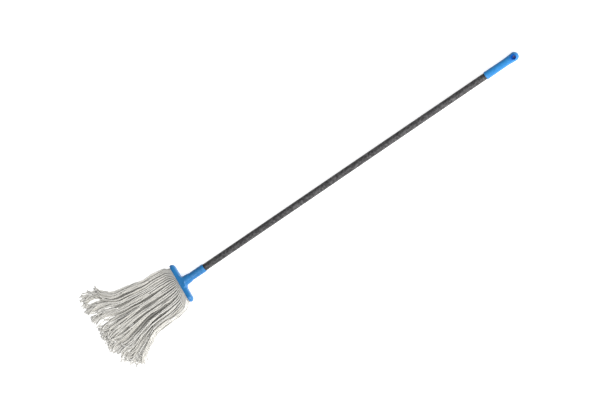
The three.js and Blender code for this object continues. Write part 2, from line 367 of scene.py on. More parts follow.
def wear_group() -> bpy.types.NodeTree:
    """Build the handling-wear effect once: soft smudges and fine scuffs.

    Returns:
        A node group with the inputs Vector and Scuffing, and the outputs Smudge, Scuff and Height.
    """
    name = "handling_wear"
    scratch_threshold, patch_threshold = 0.64, 0.5
    if name in bpy.data.node_groups:
        return bpy.data.node_groups[name]
    group = bpy.data.node_groups.new(name, "ShaderNodeTree")
    group.interface.new_socket("Vector", in_out="INPUT", socket_type="NodeSocketVector")
    group.interface.new_socket("Scuffing", in_out="INPUT", socket_type="NodeSocketFloat")
    for output in ("Smudge", "Scuff", "Height"):
        group.interface.new_socket(output, in_out="OUTPUT", socket_type="NodeSocketFloat")
    nodes = Nodes(group)
    given = nodes.add("NodeGroupInput")
    result = nodes.add("NodeGroupOutput")
    smudge = nodes.add("ShaderNodeTexNoise", Scale=38.0, Detail=4.0, Roughness=0.6)
    nodes.join(given.outputs["Vector"], smudge.inputs["Vector"])
    streaks = nodes.add("ShaderNodeMapping", Scale=(60.0, 900.0, 900.0))
    nodes.join(given.outputs["Vector"], streaks.inputs["Vector"])
    scratch = nodes.add("ShaderNodeTexNoise", Scale=1.0, Detail=6.0, Roughness=0.75)
    nodes.join(streaks.outputs["Vector"], scratch.inputs["Vector"])
    sharp = nodes.math("GREATER_THAN", scratch.outputs["Fac"], scratch_threshold)
    patch = nodes.math("GREATER_THAN", smudge.outputs["Fac"], patch_threshold)
    scuff = nodes.math("MULTIPLY", nodes.math("MULTIPLY", sharp, patch), given.outputs["Scuffing"])
    peel = nodes.add("ShaderNodeTexNoise", Scale=900.0, Detail=2.0)
    nodes.join(given.outputs["Vector"], peel.inputs["Vector"])
    height = nodes.math("SUBTRACT", peel.outputs["Fac"], scuff)
    nodes.join(smudge.outputs["Fac"], result.inputs["Smudge"])
    nodes.join(scuff, result.inputs["Scuff"])
    nodes.join(height, result.inputs["Height"])
    return group


def blank_material(name: str) -> tuple[bpy.types.Material, Nodes, bpy.types.Node]:
    """Start a material with only its shader and output.

    Args:
        name: The material's name.

    Returns:
        The material, its nodes, and its shader.
    """
    material = bpy.data.materials.new(name)
    material.use_nodes = True
    material.node_tree.nodes.clear()
    nodes = Nodes(material.node_tree)
    shader = nodes.add("ShaderNodeBsdfPrincipled")
    output = nodes.add("ShaderNodeOutputMaterial")
    nodes.join(shader.outputs["BSDF"], output.inputs["Surface"])
    return material, nodes, shader


def add_bump(nodes: Nodes, shader: bpy.types.Node, height: Socket, depth: float) -> None:
    """Give a shader a bump from a height.

    Args:
        nodes: The material's nodes.
        shader: Its shader.
        height: The height, from 0 to 1.
        depth: How deep a height of 1 is, in metres.
    """
    bump = nodes.add("ShaderNodeBump", Strength=1.0, Distance=depth)
    nodes.join(height, bump.inputs["Height"])
    nodes.join(bump.outputs["Normal"], shader.inputs["Normal"])


@dataclass(frozen=True)
class MouldedPlastic:
    """Satin injection-moulded plastic, a little smudged and scuffed."""

    name: str
    colour: Colour
    pale: Colour
    # painted shade: the deep blue painted inside the hanging hole
    hollow: Colour = (0.001, 0.075, 0.40)
    smudged_share: float = 0.86
    roughness: float = 0.36
    scuffing: float = 0.5
    peel_depth: float = 0.00003
    refraction: float = 1.49

    def build(self) -> bpy.types.Material:
        """Build the material. Where a piece is marked with painted shade, inside the hanging hole, it is
        painted a deep blue.
        """
        material, nodes, shader = blank_material(self.name)
        place = nodes.add("ShaderNodeTexCoord")
        wear = nodes.add("ShaderNodeGroup", node_tree=wear_group())
        wear.inputs["Scuffing"].default_value = self.scuffing
        nodes.join(place.outputs["Object"], wear.inputs["Vector"])
        smudge, scuff, height = wear.outputs
        deep = tuple(c * self.smudged_share for c in self.colour)
        tone = nodes.mixed(smudge, deep, self.colour)
        colour = nodes.mixed(nodes.math("MULTIPLY", scuff, 0.5), tone, self.pale)
        # painted shade: inside the hanging hole the colour is painted a deep blue
        hole_shade = nodes.add("ShaderNodeAttribute", attribute_name="hole_shade")
        colour = nodes.mixed(hole_shade.outputs["Fac"], colour, self.hollow)
        nodes.join(colour, shader.inputs["Base Color"])
        smudged = nodes.math("MULTIPLY", smudge, 0.16)
        rough = nodes.math("ADD", smudged, self.roughness - 0.08)
        nodes.join(nodes.math("ADD", rough, nodes.math("MULTIPLY", scuff, 0.25)), shader.inputs["Roughness"])
        add_bump(nodes, shader, height, self.peel_depth)
        shader.inputs["IOR"].default_value = self.refraction
        return material


@dataclass(frozen=True)
class TubeSkin:
    """Dark grey plastic coating drawn over the tube, rubbed paler in use, with painted shade darkening it at
    its joints.
    """

    joints: tuple[float, float]
    name: str = Slot.SKIN.value
    colour: Colour = (0.016, 0.015, 0.017)
    rubbed: Colour = (0.125, 0.125, 0.13)
    # painted shade: the dark colour painted round the tube's joints with the adapter and the grip
    joint_shade: Colour = (0.006, 0.006, 0.009)
    smudged_share: float = 0.8
    scuffing: float = 0.6
    speckle_scale: float = 150.0
    speckle_stops: Point = (0.43, 0.60)
    joint_shade_reach: float = 0.009
    joint_shade_full: float = 0.003
    joint_shade_cover: float = 0.85
    grain_depth: float = 0.00005

    def build(self) -> bpy.types.Material:
        """Build the material."""
        material, nodes, shader = blank_material(self.name)
        place = nodes.add("ShaderNodeTexCoord")
        wear = nodes.add("ShaderNodeGroup", node_tree=wear_group())
        wear.inputs["Scuffing"].default_value = self.scuffing
        nodes.join(place.outputs["Object"], wear.inputs["Vector"])
        smudge, scuff, height = wear.outputs
        speckle = nodes.add("ShaderNodeTexNoise", Scale=self.speckle_scale, Detail=4.0, Roughness=0.65)
        nodes.join(place.outputs["Object"], speckle.inputs["Vector"])
        stops = zip(self.speckle_stops, (self.colour, self.rubbed))
        grain = nodes.ramp(speckle.outputs["Fac"], tuple(stops))
        tone = nodes.mixed(smudge, tuple(c * self.smudged_share for c in self.colour), grain)
        colour = nodes.mixed(nodes.math("MULTIPLY", scuff, 0.6), tone, self.rubbed)
        split = nodes.add("ShaderNodeSeparateXYZ")
        nodes.join(place.outputs["Object"], split.inputs[0])
        # painted shade at each joint, strongest right at it and fading within its reach
        for joint in self.joints:
            away = nodes.math("ABSOLUTE", nodes.math("SUBTRACT", split.outputs["X"], joint))
            near = nodes.add("ShaderNodeMapRange", interpolation_type="SMOOTHSTEP")
            near.inputs["From Min"].default_value = self.joint_shade_reach
            near.inputs["From Max"].default_value = self.joint_shade_full
            nodes.join(away, near.inputs["Value"])
            cover = nodes.math("MULTIPLY", near.outputs["Result"], self.joint_shade_cover)
            colour = nodes.mixed(cover, colour, self.joint_shade)
        nodes.join(colour, shader.inputs["Base Color"])
        rough = nodes.math("ADD", nodes.math("MULTIPLY", smudge, 0.2), 0.34)
        nodes.join(rough, shader.inputs["Roughness"])
        add_bump(nodes, shader, nodes.math("ADD", height, speckle.outputs["Fac"]), self.grain_depth)
        return material


@dataclass(frozen=True)
class CottonYarn:
    """Plied cotton: soft, matt and a little uneven in colour from strand to strand. Painted shade darkens the
    grooves between its plies and the strands that lie under others.
    """

    name: str = Slot.COTTON.value
    pale: Colour = (0.76, 0.755, 0.735)
    warm: Colour = (0.66, 0.645, 0.60)
    # painted shade: the dark colour painted into the grooves between the plies
    deep: Colour = (0.30, 0.285, 0.24)
    # painted shade: the near-black colour painted on yarn that lies under other strands
    buried: Colour = (0.045, 0.042, 0.035)
    mottle: float = 0.35
    groove_shade_share: float = 0.55
    fibre_depth: float = 0.0002

    def build(self) -> bpy.types.Material:
        """Build the material."""
        material, nodes, shader = blank_material(self.name)
        tint = nodes.add("ShaderNodeAttribute", attribute_name="strand_tint")
        uv = nodes.add("ShaderNodeUVMap", uv_map="strand")
        along = nodes.add("ShaderNodeMapping", Scale=(5.0, 260.0, 1.0))
        nodes.join(uv.outputs["UV"], along.inputs["Vector"])
        fibre = nodes.add("ShaderNodeTexNoise", Scale=1.0, Detail=4.0, Roughness=0.7)
        nodes.join(along.outputs["Vector"], fibre.inputs["Vector"])
        # painted shade in the grooves between the plies
        groove = nodes.add("ShaderNodeAttribute", attribute_name="ply_groove")
        tone = nodes.mixed(tint.outputs["Fac"], self.warm, self.pale)
        mottled = nodes.mixed(nodes.math("MULTIPLY", fibre.outputs["Fac"], self.mottle), tone, self.warm)
        groove_shade = nodes.math("MULTIPLY", groove.outputs["Fac"], self.groove_shade_share)
        shaded = nodes.mixed(groove_shade, mottled, self.deep)
        # painted shade where the yarn lies under other strands
        buried = nodes.add("ShaderNodeAttribute", attribute_name="buried")
        nodes.join(nodes.mixed(buried.outputs["Fac"], shaded, self.buried), shader.inputs["Base Color"])
        shader.inputs["Roughness"].default_value = 0.92
        shader.inputs["Specular IOR Level"].default_value = 0.2
        shader.inputs["Sheen Weight"].default_value = 0.28
        shader.inputs["Sheen Roughness"].default_value = 0.5
        add_bump(nodes, shader, fibre.outputs["Fac"], self.fibre_depth)
        return material


@dataclass(frozen=True)
class BareMetal:
    """Rolled or plated steel with a fine grain along the handle."""

    name: str
    colour: Colour
    roughness: float
    dark_share: float = 0.8
    grain_depth: float = 0.00002

    def build(self) -> bpy.types.Material:
        """Build the material."""
        material, nodes, shader = blank_material(self.name)
        place = nodes.add("ShaderNodeTexCoord")
        stretch = nodes.add("ShaderNodeMapping", Scale=(40.0, 1500.0, 1500.0))
        nodes.join(place.outputs["Object"], stretch.inputs["Vector"])
        grain = nodes.add("ShaderNodeTexNoise", Scale=1.0, Detail=3.0)
        nodes.join(stretch.outputs["Vector"], grain.inputs["Vector"])
        dark = tuple(c * self.dark_share for c in self.colour)
        nodes.join(nodes.mixed(grain.outputs["Fac"], dark, self.colour), shader.inputs["Base Color"])
        rough = nodes.math("ADD", nodes.math("MULTIPLY", grain.outputs["Fac"], 0.2), self.roughness)
        nodes.join(rough, shader.inputs["Roughness"])
        shader.inputs["Metallic"].default_value = 1.0
        add_bump(nodes, shader, grain.outputs["Fac"], self.grain_depth)
        return material


@dataclass(frozen=True)
class PaleFloor:
    """Plain pale studio floor, which glows a little except in one round dark spot."""

    name: str = "pale_floor"
    colour: Colour = (0.93, 0.93, 0.93)
    dim_share: float = 0.985
    glow: float = 0.70
    spot: Point = (0.7560, 0.0050)
    spot_size: float = 0.012
    spot_core: float = 0.85

    def build(self) -> bpy.types.Material:
        """Build the material. Its dark spot lies under the hanging hole."""
        material, nodes, shader = blank_material(self.name)
        place = nodes.add("ShaderNodeTexCoord")
        mottle = nodes.add("ShaderNodeTexNoise", Scale=1.2, Detail=2.0)
        nodes.join(place.outputs["Object"], mottle.inputs["Vector"])
        dim = tuple(c * self.dim_share for c in self.colour)
        nodes.join(nodes.mixed(mottle.outputs["Fac"], dim, self.colour), shader.inputs["Base Color"])
        shader.inputs["Roughness"].default_value = 0.9
        shader.inputs["Specular IOR Level"].default_value = 0.1
        shader.inputs["Emission Color"].default_value = (1.0, 1.0, 1.0, 1.0)
        away = nodes.add("ShaderNodeVectorMath", operation="DISTANCE")
        nodes.join(place.outputs["Object"], away.inputs[0])
        away.inputs[1].default_value = (*self.spot, 0.0)
        lit = nodes.add("ShaderNodeMapRange")
        nodes.join(away.outputs["Value"], lit.inputs["Value"])
        lit.inputs["From Min"].default_value = self.spot_size * self.spot_core
        lit.inputs["From Max"].default_value = self.spot_size
        lit.inputs["To Min"].default_value = 0.0
        lit.inputs["To Max"].default_value = self.glow
        nodes.join(lit.outputs["Result"], shader.inputs["Emission Strength"])
        return material


# ---------------------------------------------------------------------------
# The studio
# ---------------------------------------------------------------------------


@dataclass(frozen=True)
class Lamp:
    """A soft square light: where it stands, its width, its power in watts and its colour."""

    name: str
    place: tuple[float, float, float]
    size: float
    power: float
    colour: Colour


@dataclass
class Studio:
    """The floor, the lights and the camera round the mop."""

    handle_rise: float = 34.27
    handle_tilt: float = 12.0
    side_lean: float = 20.0
    view_width: float = 1.806
    aim: Vector = field(default_factory=lambda: Vector((-0.0332, 0.0056, 0.0173)))
    distance: float = 4.0
    floor_size: float = 30.0
    ambient: float = 0.28
    lamps: tuple[Lamp, ...] = (
        Lamp("key", (1.5, -1.5, 1.35), 0.8, 74, (1.0, 0.985, 0.96)),
        Lamp("side", (-1.2, -1.7, 1.4), 0.7, 15, (1.0, 0.99, 0.97)),
        Lamp("fill", (-1.4, -0.6, 2.8), 1.6, 17, (0.97, 0.98, 1.0)),
    )

    def axes(self) -> tuple[Vector, Vector, Vector]:
        """Work out the camera's axes.

        The handle rises across the view, the view tilts along the handle, and it leans to one
        side of it.

        Returns:
            The directions of the view's right, its top, and back towards the camera.
        """
        tilt, lean = math.radians(self.handle_tilt), math.radians(self.side_lean)
        rise = math.radians(self.handle_rise)
        back = Vector(
            (math.sin(tilt), -math.cos(tilt) * math.sin(lean), math.cos(tilt) * math.cos(lean))
        )
        handle = (Vector((1, 0, 0)) - back * back.x).normalized()
        across = back.cross(handle)
        right = handle * math.cos(rise) - across * math.sin(rise)
        up = handle * math.sin(rise) + across * math.cos(rise)
        return right, up, back

    def place_camera(self) -> None:
        """Make the camera, which sees the mop without perspective."""
        right, up, back = self.axes()
        data = bpy.data.cameras.new("camera")
        data.type = "ORTHO"
        data.ortho_scale = self.view_width
        data.clip_start, data.clip_end = 0.05, 60.0
        camera = bpy.data.objects.new("camera", data)
        bpy.context.scene.collection.objects.link(camera)
        matrix = camera.matrix_world.to_3x3()
        matrix.col[0], matrix.col[1], matrix.col[2] = right, up, back
        camera.matrix_world = matrix.to_4x4()
        camera.location = self.aim + back * self.distance
        bpy.context.scene.camera = camera

    def light(self, lamp: Lamp) -> None:
        """Put up a light that faces the mop.

        Args:
            lamp: The light.
        """
        data = bpy.data.lights.new(lamp.name, "AREA")
        data.shape = "SQUARE"
        data.size, data.energy, data.color = lamp.size, lamp.power, lamp.colour
        stand = bpy.data.objects.new(lamp.name, data)
        bpy.context.scene.collection.objects.link(stand)
        stand.location = lamp.place
        stand.rotation_euler = (self.aim - stand.location).to_track_quat("-Z", "Y").to_euler()

    def build(self) -> None:
        """Build the floor, the lights, the surroundings and the camera."""
        deselect_all()
        bpy.ops.mesh.primitive_grid_add(x_subdivisions=8, y_subdivisions=8, size=self.floor_size)
        floor = bpy.context.object
        floor.name = "floor"
        floor.data.materials.append(PaleFloor().build())
        for lamp in self.lamps:
            self.light(lamp)
        world = bpy.data.worlds.new("surroundings")
        world.use_nodes = True
        background = world.node_tree.nodes["Background"]
        background.inputs["Color"].default_value = (1.0, 1.0, 1.0, 1.0)
        background.inputs["Strength"].default_value = self.ambient
        bpy.context.scene.world = world
        bpy.context.scene.view_settings.view_transform = "Standard"
        self.place_camera()
        log.info("studio: camera %s", tuple(round(v, 3) for v in bpy.context.scene.camera.location))


# ---------------------------------------------------------------------------
# The header
# ---------------------------------------------------------------------------


@dataclass
class Header:
    """The moulded cross bar with its hub, and what it holds inside."""

    wall: float = 0.0022
    ceiling: float = 0.0022
    skirt: float = 0.0065
    roof: float = 0.0070
    crest_depth: float = 0.0150
    hub_mouth: float = 0.0135
    hub_root: float = 0.0151
    flare: float = 0.0085
    bore: float = 0.0107
    bore_floor: float = 0.0196
    post_place: float = 0.040
    post_start: float = 0.0061
    post_bore: float = 0.0019
    post_tip: float = 0.0036
    post_root: float = 0.0038
    voxel: float = 0.0007

    def __post_init__(self) -> None:
        """Take the header's place and size from the frame."""
        self.low, self.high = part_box("header_cap")
        self.half_depth = (self.high.z - self.low.z) / 2
        self.axis = self.low.z + self.half_depth
        self.straight = (self.high.y - self.low.y) / 2 - self.half_depth

    def stadium(self, stations: Profile, sides: int = 96) -> bpy.types.Object:
        """Model a stadium-shaped block from stations along X.

        Args:
            stations: Each a place along X, from the header's mouth, and a half depth.
            sides: The number of sides of its outline.

        Returns:
            The new mesh object.
        """
        mouth = self.low.x
        places = [(mouth + x, radius) for x, radius in stations]
        block = turned(places, self.axis, sides)
        with editing(block):
            bpy.ops.mesh.select_all(action="DESELECT")
            bpy.ops.mesh.select_mode(type="VERT")
        for side in (-1, 1):
            for vertex in block.data.vertices:
                vertex.select = vertex.co.y * side > 1e-6
            bpy.ops.object.mode_set(mode="EDIT")
            bpy.ops.transform.translate(value=(0, side * self.straight, 0))
            bpy.ops.mesh.select_all(action="DESELECT")
            bpy.ops.object.mode_set(mode="OBJECT")
        return block

    def outer_bar(self) -> bpy.types.Object:
        """Model the outside of the cross bar."""
        depth, crest = self.half_depth, self.crest_depth / 2
        top = self.skirt + self.roof
        stations = [
            (0.0, depth - 0.0006),
            (0.0006, depth),
            (self.skirt, depth),
            (self.skirt + 0.0008, depth - 0.0004),
            (self.skirt + 0.0025, depth - 0.0016),
            (top - 0.0020, (depth + crest) / 2),
            (top - 0.0008, crest + 0.0016),
            (top, crest),
        ]
        return self.stadium(stations)

    def hub(self) -> bpy.types.Object:
        """Model the hub and its flare, flush with the bar's two flat sides."""
        mouth = self.low.x
        crest = mouth + self.skirt + self.roof
        end = self.high.x
        profile = [
            (mouth + self.skirt - 0.001, self.hub_root + self.flare * 1.35),
            *arc((crest + self.flare, self.hub_root + self.flare), self.flare, 180, 270, 8),
            (end - 0.0046, self.hub_root - 0.0006),
            (end - 0.0036, self.hub_mouth + 0.0004),
            (end - 0.0006, self.hub_mouth),
            (end, self.hub_mouth - 0.0006),
        ]
        body = turned(profile, self.axis)
        for side in (-1, 1):
            with editing(body):
                level = self.axis + side * (self.half_depth - 0.0003)
                bpy.ops.mesh.bisect(
                    plane_co=(0, 0, level),
                    plane_no=(0, 0, 1),
                    use_fill=True,
                    clear_outer=side > 0,
                    clear_inner=side < 0,
                )
        return body

    def post(self, side: int) -> bpy.types.Object:
        """Model one of the two posts that the keeper's screws bite into.

        Args:
            side: Which side of the handle it stands on, as -1 or 1.

        Returns:
            The new mesh object.
        """
        start = self.low.x + self.post_start
        end = self.low.x + self.skirt + self.roof - self.ceiling + 0.001
        wall = [(start, self.post_bore), (start, self.post_tip), (end, self.post_root), (end, self.post_bore)]
        post = turned(wall, self.axis, 40, True)
        post.location.y = side * self.post_place
        settle_place(post)
        return post

    def cap(self) -> bpy.types.Object:
        """Model the whole header cap: bar and hub joined, hollowed, bored and softened."""
        cap = self.outer_bar()
        combine(cap, self.hub(), "UNION")
        inner = self.half_depth - self.wall
        narrow = (self.half_depth + self.crest_depth / 2) / 2 - self.wall
        ceiling = self.skirt + self.roof - self.ceiling
        hollow = self.stadium([(-0.002, inner), (self.skirt, inner), (ceiling, narrow)])
        combine(cap, hollow, "DIFFERENCE")
        for side in (-1, 1):
            combine(cap, self.post(side), "UNION")
        bore_ends = (self.low.x + self.bore_floor, self.high.x + 0.001)
        combine(cap, turned([(x, self.bore) for x in bore_ends], self.axis), "DIFFERENCE")
        apply_modifier(cap, "REMESH", mode="VOXEL", voxel_size=self.voxel)
        apply_modifier(cap, "SMOOTH", factor=0.5, iterations=5)
        pick(cap)
        bpy.ops.object.shade_smooth()
        return cap

    def build(self, plastic: bpy.types.Material) -> None:
        """Build the header cap.

        Args:
            plastic: The finish of the cap.
        """
        hand_over(self.cap(), "header_cap_moulding", Body.HEAD, plastic, ["header_cap"])


# ---------------------------------------------------------------------------
# The handle
# ---------------------------------------------------------------------------


@dataclass
class Adapter:
    """The blue sleeve on the tube's end, with its lip and its screw thread."""

    sleeve: float = 0.01285
    neck: float = 0.01255
    lip: float = 0.0133
    socket: float = 0.0113
    thread_crest: float = 0.0098
    thread_depth: float = 0.0013
    thread_pitch: float = 0.0045
    thread_turns: float = 3.4
    thread_steps: int = 160
    length: float = 0.051
    tube_room: float = 0.012

    def __post_init__(self) -> None:
        """Take the adapter's place from the frame."""
        low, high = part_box("thread_adapter")
        self.axis = (low.z + high.z) / 2
        self.tip, self.end = low.x, high.x
        self.start = self.end - self.length

    def body(self) -> bpy.types.Object:
        """Model the sleeve, open at the tube's end."""
        start, end = self.start, self.end
        profile = [
            (start, self.thread_crest - self.thread_depth - 0.0002),
            (start, self.neck - 0.0005),
            (start + 0.0005, self.neck),
            (start + 0.0043, self.neck),
            (start + 0.0052, self.sleeve - 0.0001),
            (start + 0.0056, self.sleeve),
            (end - 0.0108, self.sleeve),
            (end - 0.0102, self.lip - 0.0002),
            (end - 0.0098, self.lip),
            (end - 0.0052, self.lip),
            (end - 0.0047, self.lip - 0.0003),
            (end - 0.0044, self.sleeve),
            (end - 0.0012, self.sleeve - 0.0001),
            (end - 0.0003, self.sleeve - 0.0006),
            (end, self.socket + 0.0004),
            (end - 0.0006, self.socket),
            (end - self.tube_room, self.socket),
            (end - self.tube_room, 0.0008),
        ]
        return turned(profile, self.axis, 128)

    def thread(self) -> bpy.types.Object:
        """Model the male thread: a chamfered core, and a ridge spun round it and drawn out along it.

        Returns:
            The new mesh object.
        """
        tip = self.tip
        root = self.thread_crest - self.thread_depth
        chamfer = 0.0012
        stations = [(tip, root - chamfer), (tip + chamfer, root), (self.start + 0.0008, root)]
        core = turned(stations, self.axis, 64)
        deselect_all()
        bpy.ops.mesh.primitive_plane_add(size=1, location=(tip + 0.0014, 0, self.axis + root))
        ridge = bpy.context.object
        half_root, half_crest = self.thread_pitch * 0.34, self.thread_pitch * 0.16
        corners = (
            (-half_root, 0.0, -0.0004),
            (half_root, 0.0, -0.0004),
            (-half_crest, 0.0, self.thread_depth),
            (half_crest, 0.0, self.thread_depth),
        )
        for vertex, place in zip(ridge.data.vertices, corners):
            vertex.co = place
        with editing(ridge):
            bpy.ops.mesh.spin(
                steps=self.thread_steps,
                angle=math.tau * self.thread_turns,
                center=(tip, 0, self.axis),
                axis=(1, 0, 0),
            )
        settle_place(ridge)
        around = 0.0
        last = None
        for ring in np.arange(len(ridge.data.vertices)).reshape(-1, 4):
            middle = sum((ridge.data.vertices[int(i)].co for i in ring), Vector()) / 4
            angle = math.atan2(middle.y, middle.z - self.axis)
            if last is not None:
                turn = (angle - last + math.pi) % math.tau - math.pi
                around += abs(turn)
            last = angle
            for i in ring:
                ridge.data.vertices[int(i)].co.x += self.thread_pitch * around / math.tau
        recalculate_normals(ridge)
        pick(core, ridge)
        bpy.ops.object.join()
        return core

    def build(self, plastic: bpy.types.Material) -> None:
        """Build the adapter.

        Args:
            plastic: Its finish.
        """
        body = self.body()
        core = self.thread()
        pick(body, core)
        bpy.ops.object.join()
        smooth_by_angle(body, 32)
        hand_over(body, "thread_adapter_moulding", Body.ADAPTER, plastic, ["thread_adapter"])


@dataclass
class Tube:
    """The ribbed coating over the steel tube."""

    radius: float = 0.011
    lining: float = 0.010275
    rib_pitch: float = 0.0044
    rib_depth: float = 0.00035
    sides: int = 48

    def build(self, skin: bpy.types.Material) -> None:
        """Build the coating.

        Args:
            skin: Its finish.
        """
        low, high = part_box("tube_coating")
        axis = (low.z + high.z) / 2
        ribs = round((high.x - low.x) / self.rib_pitch)
        pitch = (high.x - low.x) / ribs
        crest, valley = self.radius, self.radius - self.rib_depth
        shares = ((0.0, valley), (0.18, valley), (0.36, crest), (0.72, crest), (0.9, valley), (1.0, valley))
        deselect_all()
        bpy.ops.mesh.primitive_circle_add(
            vertices=self.sides,
            radius=valley,
            location=(low.x, 0, axis),
            rotation=(0, math.pi / 2, 0),
        )
        rib = bpy.context.object
        with editing(rib):
            for (s0, r0), (s1, r1) in zip(shares, shares[1:]):
                bpy.ops.mesh.extrude_edges_move()
                bpy.ops.transform.translate(value=((s1 - s0) * pitch, 0, 0))
                bpy.ops.transform.resize(value=(1, r1 / r0, r1 / r0), center_override=(0, 0, axis))
        settle_place(rib)
        apply_modifier(
            rib,
            "ARRAY",
            count=ribs,
            use_relative_offset=False,
            use_constant_offset=True,
            constant_offset_displace=(pitch, 0, 0),
            use_merge_vertices=True,
            merge_threshold=1e-5,
        )
        recalculate_normals(rib)
        self.close_ends(rib, axis)
        smooth_by_angle(rib, 50)
        hand_over(rib, "tube_coating_ribbed", Body.HANDLE, skin, ["tube_coating"])

    def close_ends(self, rib: bpy.types.Object, axis: float) -> None:
        """Give the ribbed skin its thickness at both ends and inside.

        Args:
            rib: The open ribbed tube.
            axis: The height of its axis.
        """
        inward = self.lining / (self.radius - self.rib_depth)
        with editing(rib):
            bpy.ops.mesh.select_all(action="DESELECT")
            bpy.ops.mesh.select_non_manifold()
            bpy.ops.mesh.extrude_edges_move()
            bpy.ops.transform.resize(value=(1, inward, inward), center_override=(0, 0, axis))
            bpy.ops.mesh.bridge_edge_loops()
        recalculate_normals(rib)


@dataclass
class Grip:
    """The moulded grip cap with its mouth collar, ring groove, waist and hanging eye."""

    grip: float = 0.0127
    collar: float = 0.0130
    waist: float = 0.01225
    eye: float = 0.0144
    socket: float = 0.0113
    socket_depth: float = 0.020
    collar_length: float = 0.0050
    groove_place: float = 0.032
    groove_depth: float = 0.0006
    waist_start: float = 0.050
    waist_end: float = 0.065
    flare_start: float = 0.080
    hole: float = 0.0043
    hole_mouth: float = 0.0088
    hole_setback: float = 0.0154
    hole_lean: float = 20.0
    throat: float = 0.36

    def __post_init__(self) -> None:
        """Take the grip's place from the frame."""
        low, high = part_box("grip_cap")
        self.mouth, self.tip = low.x, high.x
        self.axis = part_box("header_cap")[1].z / 2

    def outside(self) -> bpy.types.Object:
        """Model the grip's body, closed at the tip and bored at the mouth."""
        mouth, tip = self.mouth, self.tip
        groove = mouth + self.groove_place
        profile = [
            (mouth + self.socket_depth, 0.0008),
            (mouth + self.socket_depth, self.socket),
            (mouth + 0.0005, self.socket),
            (mouth, self.socket + 0.0004),
            (mouth, self.collar - 0.0006),
            (mouth + 0.0006, self.collar),
            (mouth + self.collar_length - 0.0006, self.collar),
            (mouth + self.collar_length, self.grip + 0.0001),
            (mouth + self.collar_length + 0.0006, self.grip),
            (groove - 0.0003, self.grip),
            (groove + 0.0003, self.grip - self.groove_depth),
            (groove + 0.0023, self.grip - self.groove_depth),
            (groove + 0.0029, self.grip),
            (groove + 0.0035, self.grip),
            (mouth + self.waist_start - 0.008, (self.grip + self.waist) / 2),
            (mouth + self.waist_start, self.waist),
            (mouth + self.waist_end, self.waist + 0.0001),
            (mouth + self.waist_end + 0.009, (self.grip + self.waist) / 2),
            (mouth + self.flare_start, self.grip - 0.00005),
            (mouth + self.flare_start + 0.008, (self.grip * 2 + self.eye) / 3),
            (mouth + self.flare_start + 0.018, (self.grip + self.eye * 4) / 5),
            (tip - 0.0185, self.eye - 0.0001),
            *arc((tip - self.eye, 0.0), self.eye, 90, 3, 16),
        ]
        return turned(profile, self.axis, 128)

    def hole_cutter(self) -> bpy.types.Object:
        """Model the cutter of the hanging hole: a bore with a round flare at each end.

        Returns:
            The new mesh object.
        """
        widen = self.hole_mouth - self.hole
        steps = 7
        sides = [(0.0, self.hole), (self.eye * self.throat, self.hole)]
        for i in range(1, steps + 1):
            share = i / steps
            out = self.throat + (1 - self.throat) * share
            sides.append((self.eye * out, self.hole + widen * share**0.75))
        sides.append((self.eye + 0.002, self.hole_mouth + 0.0012))
        profile = [(-x, r) for x, r in reversed(sides[1:])] + sides
        cutter = turned(profile, 0.0, 96)
        lean = math.radians(self.hole_lean)
        cutter.rotation_euler = (0, -math.pi / 2, 0)
        settle_place(cutter)
        cutter.rotation_euler = (lean, 0, 0)
        cutter.location = (self.tip - self.hole_setback, 0, self.axis)
        settle_place(cutter)
        return cutter

    def paint_hole_shade(self, body: bpy.types.Object) -> None:
        """Mark the inside of the hanging hole with painted shade, so that it is painted a deep blue.

        Args:
            body: The finished grip.
        """
        lean = math.radians(self.hole_lean)
        way = Vector((0, -math.sin(lean), math.cos(lean)))
        centre = Vector((self.tip - self.hole_setback, 0, self.axis))
        # painted shade mark: full inside the hole's mouth, none just outside it
        mark = body.data.attributes.new("hole_shade", "FLOAT", "POINT")
        for vertex, value in zip(body.data.vertices, mark.data):
            away = vertex.co - centre
            distance = (away - way * away.dot(way)).length
            value.value = min(max((self.hole_mouth + 0.0004 - distance) / 0.0008, 0.0), 1.0)

    def build(self, plastic: bpy.types.Material) -> None:
        """Build the grip.

        Args:
            plastic: Its finish.
        """
        body = self.outside()
        combine(body, self.hole_cutter(), "DIFFERENCE")
        smooth_by_angle(body, 34)
        self.paint_hole_shade(body)
        hand_over(body, "grip_cap_moulding", Body.HANDLE, plastic, ["grip_cap"])


# ---------------------------------------------------------------------------
# The yarn
# ---------------------------------------------------------------------------


class Layer(Enum):
    """Which side of the keeper a strand leaves the header on."""

    UPPER = 1
    UNDER = -1


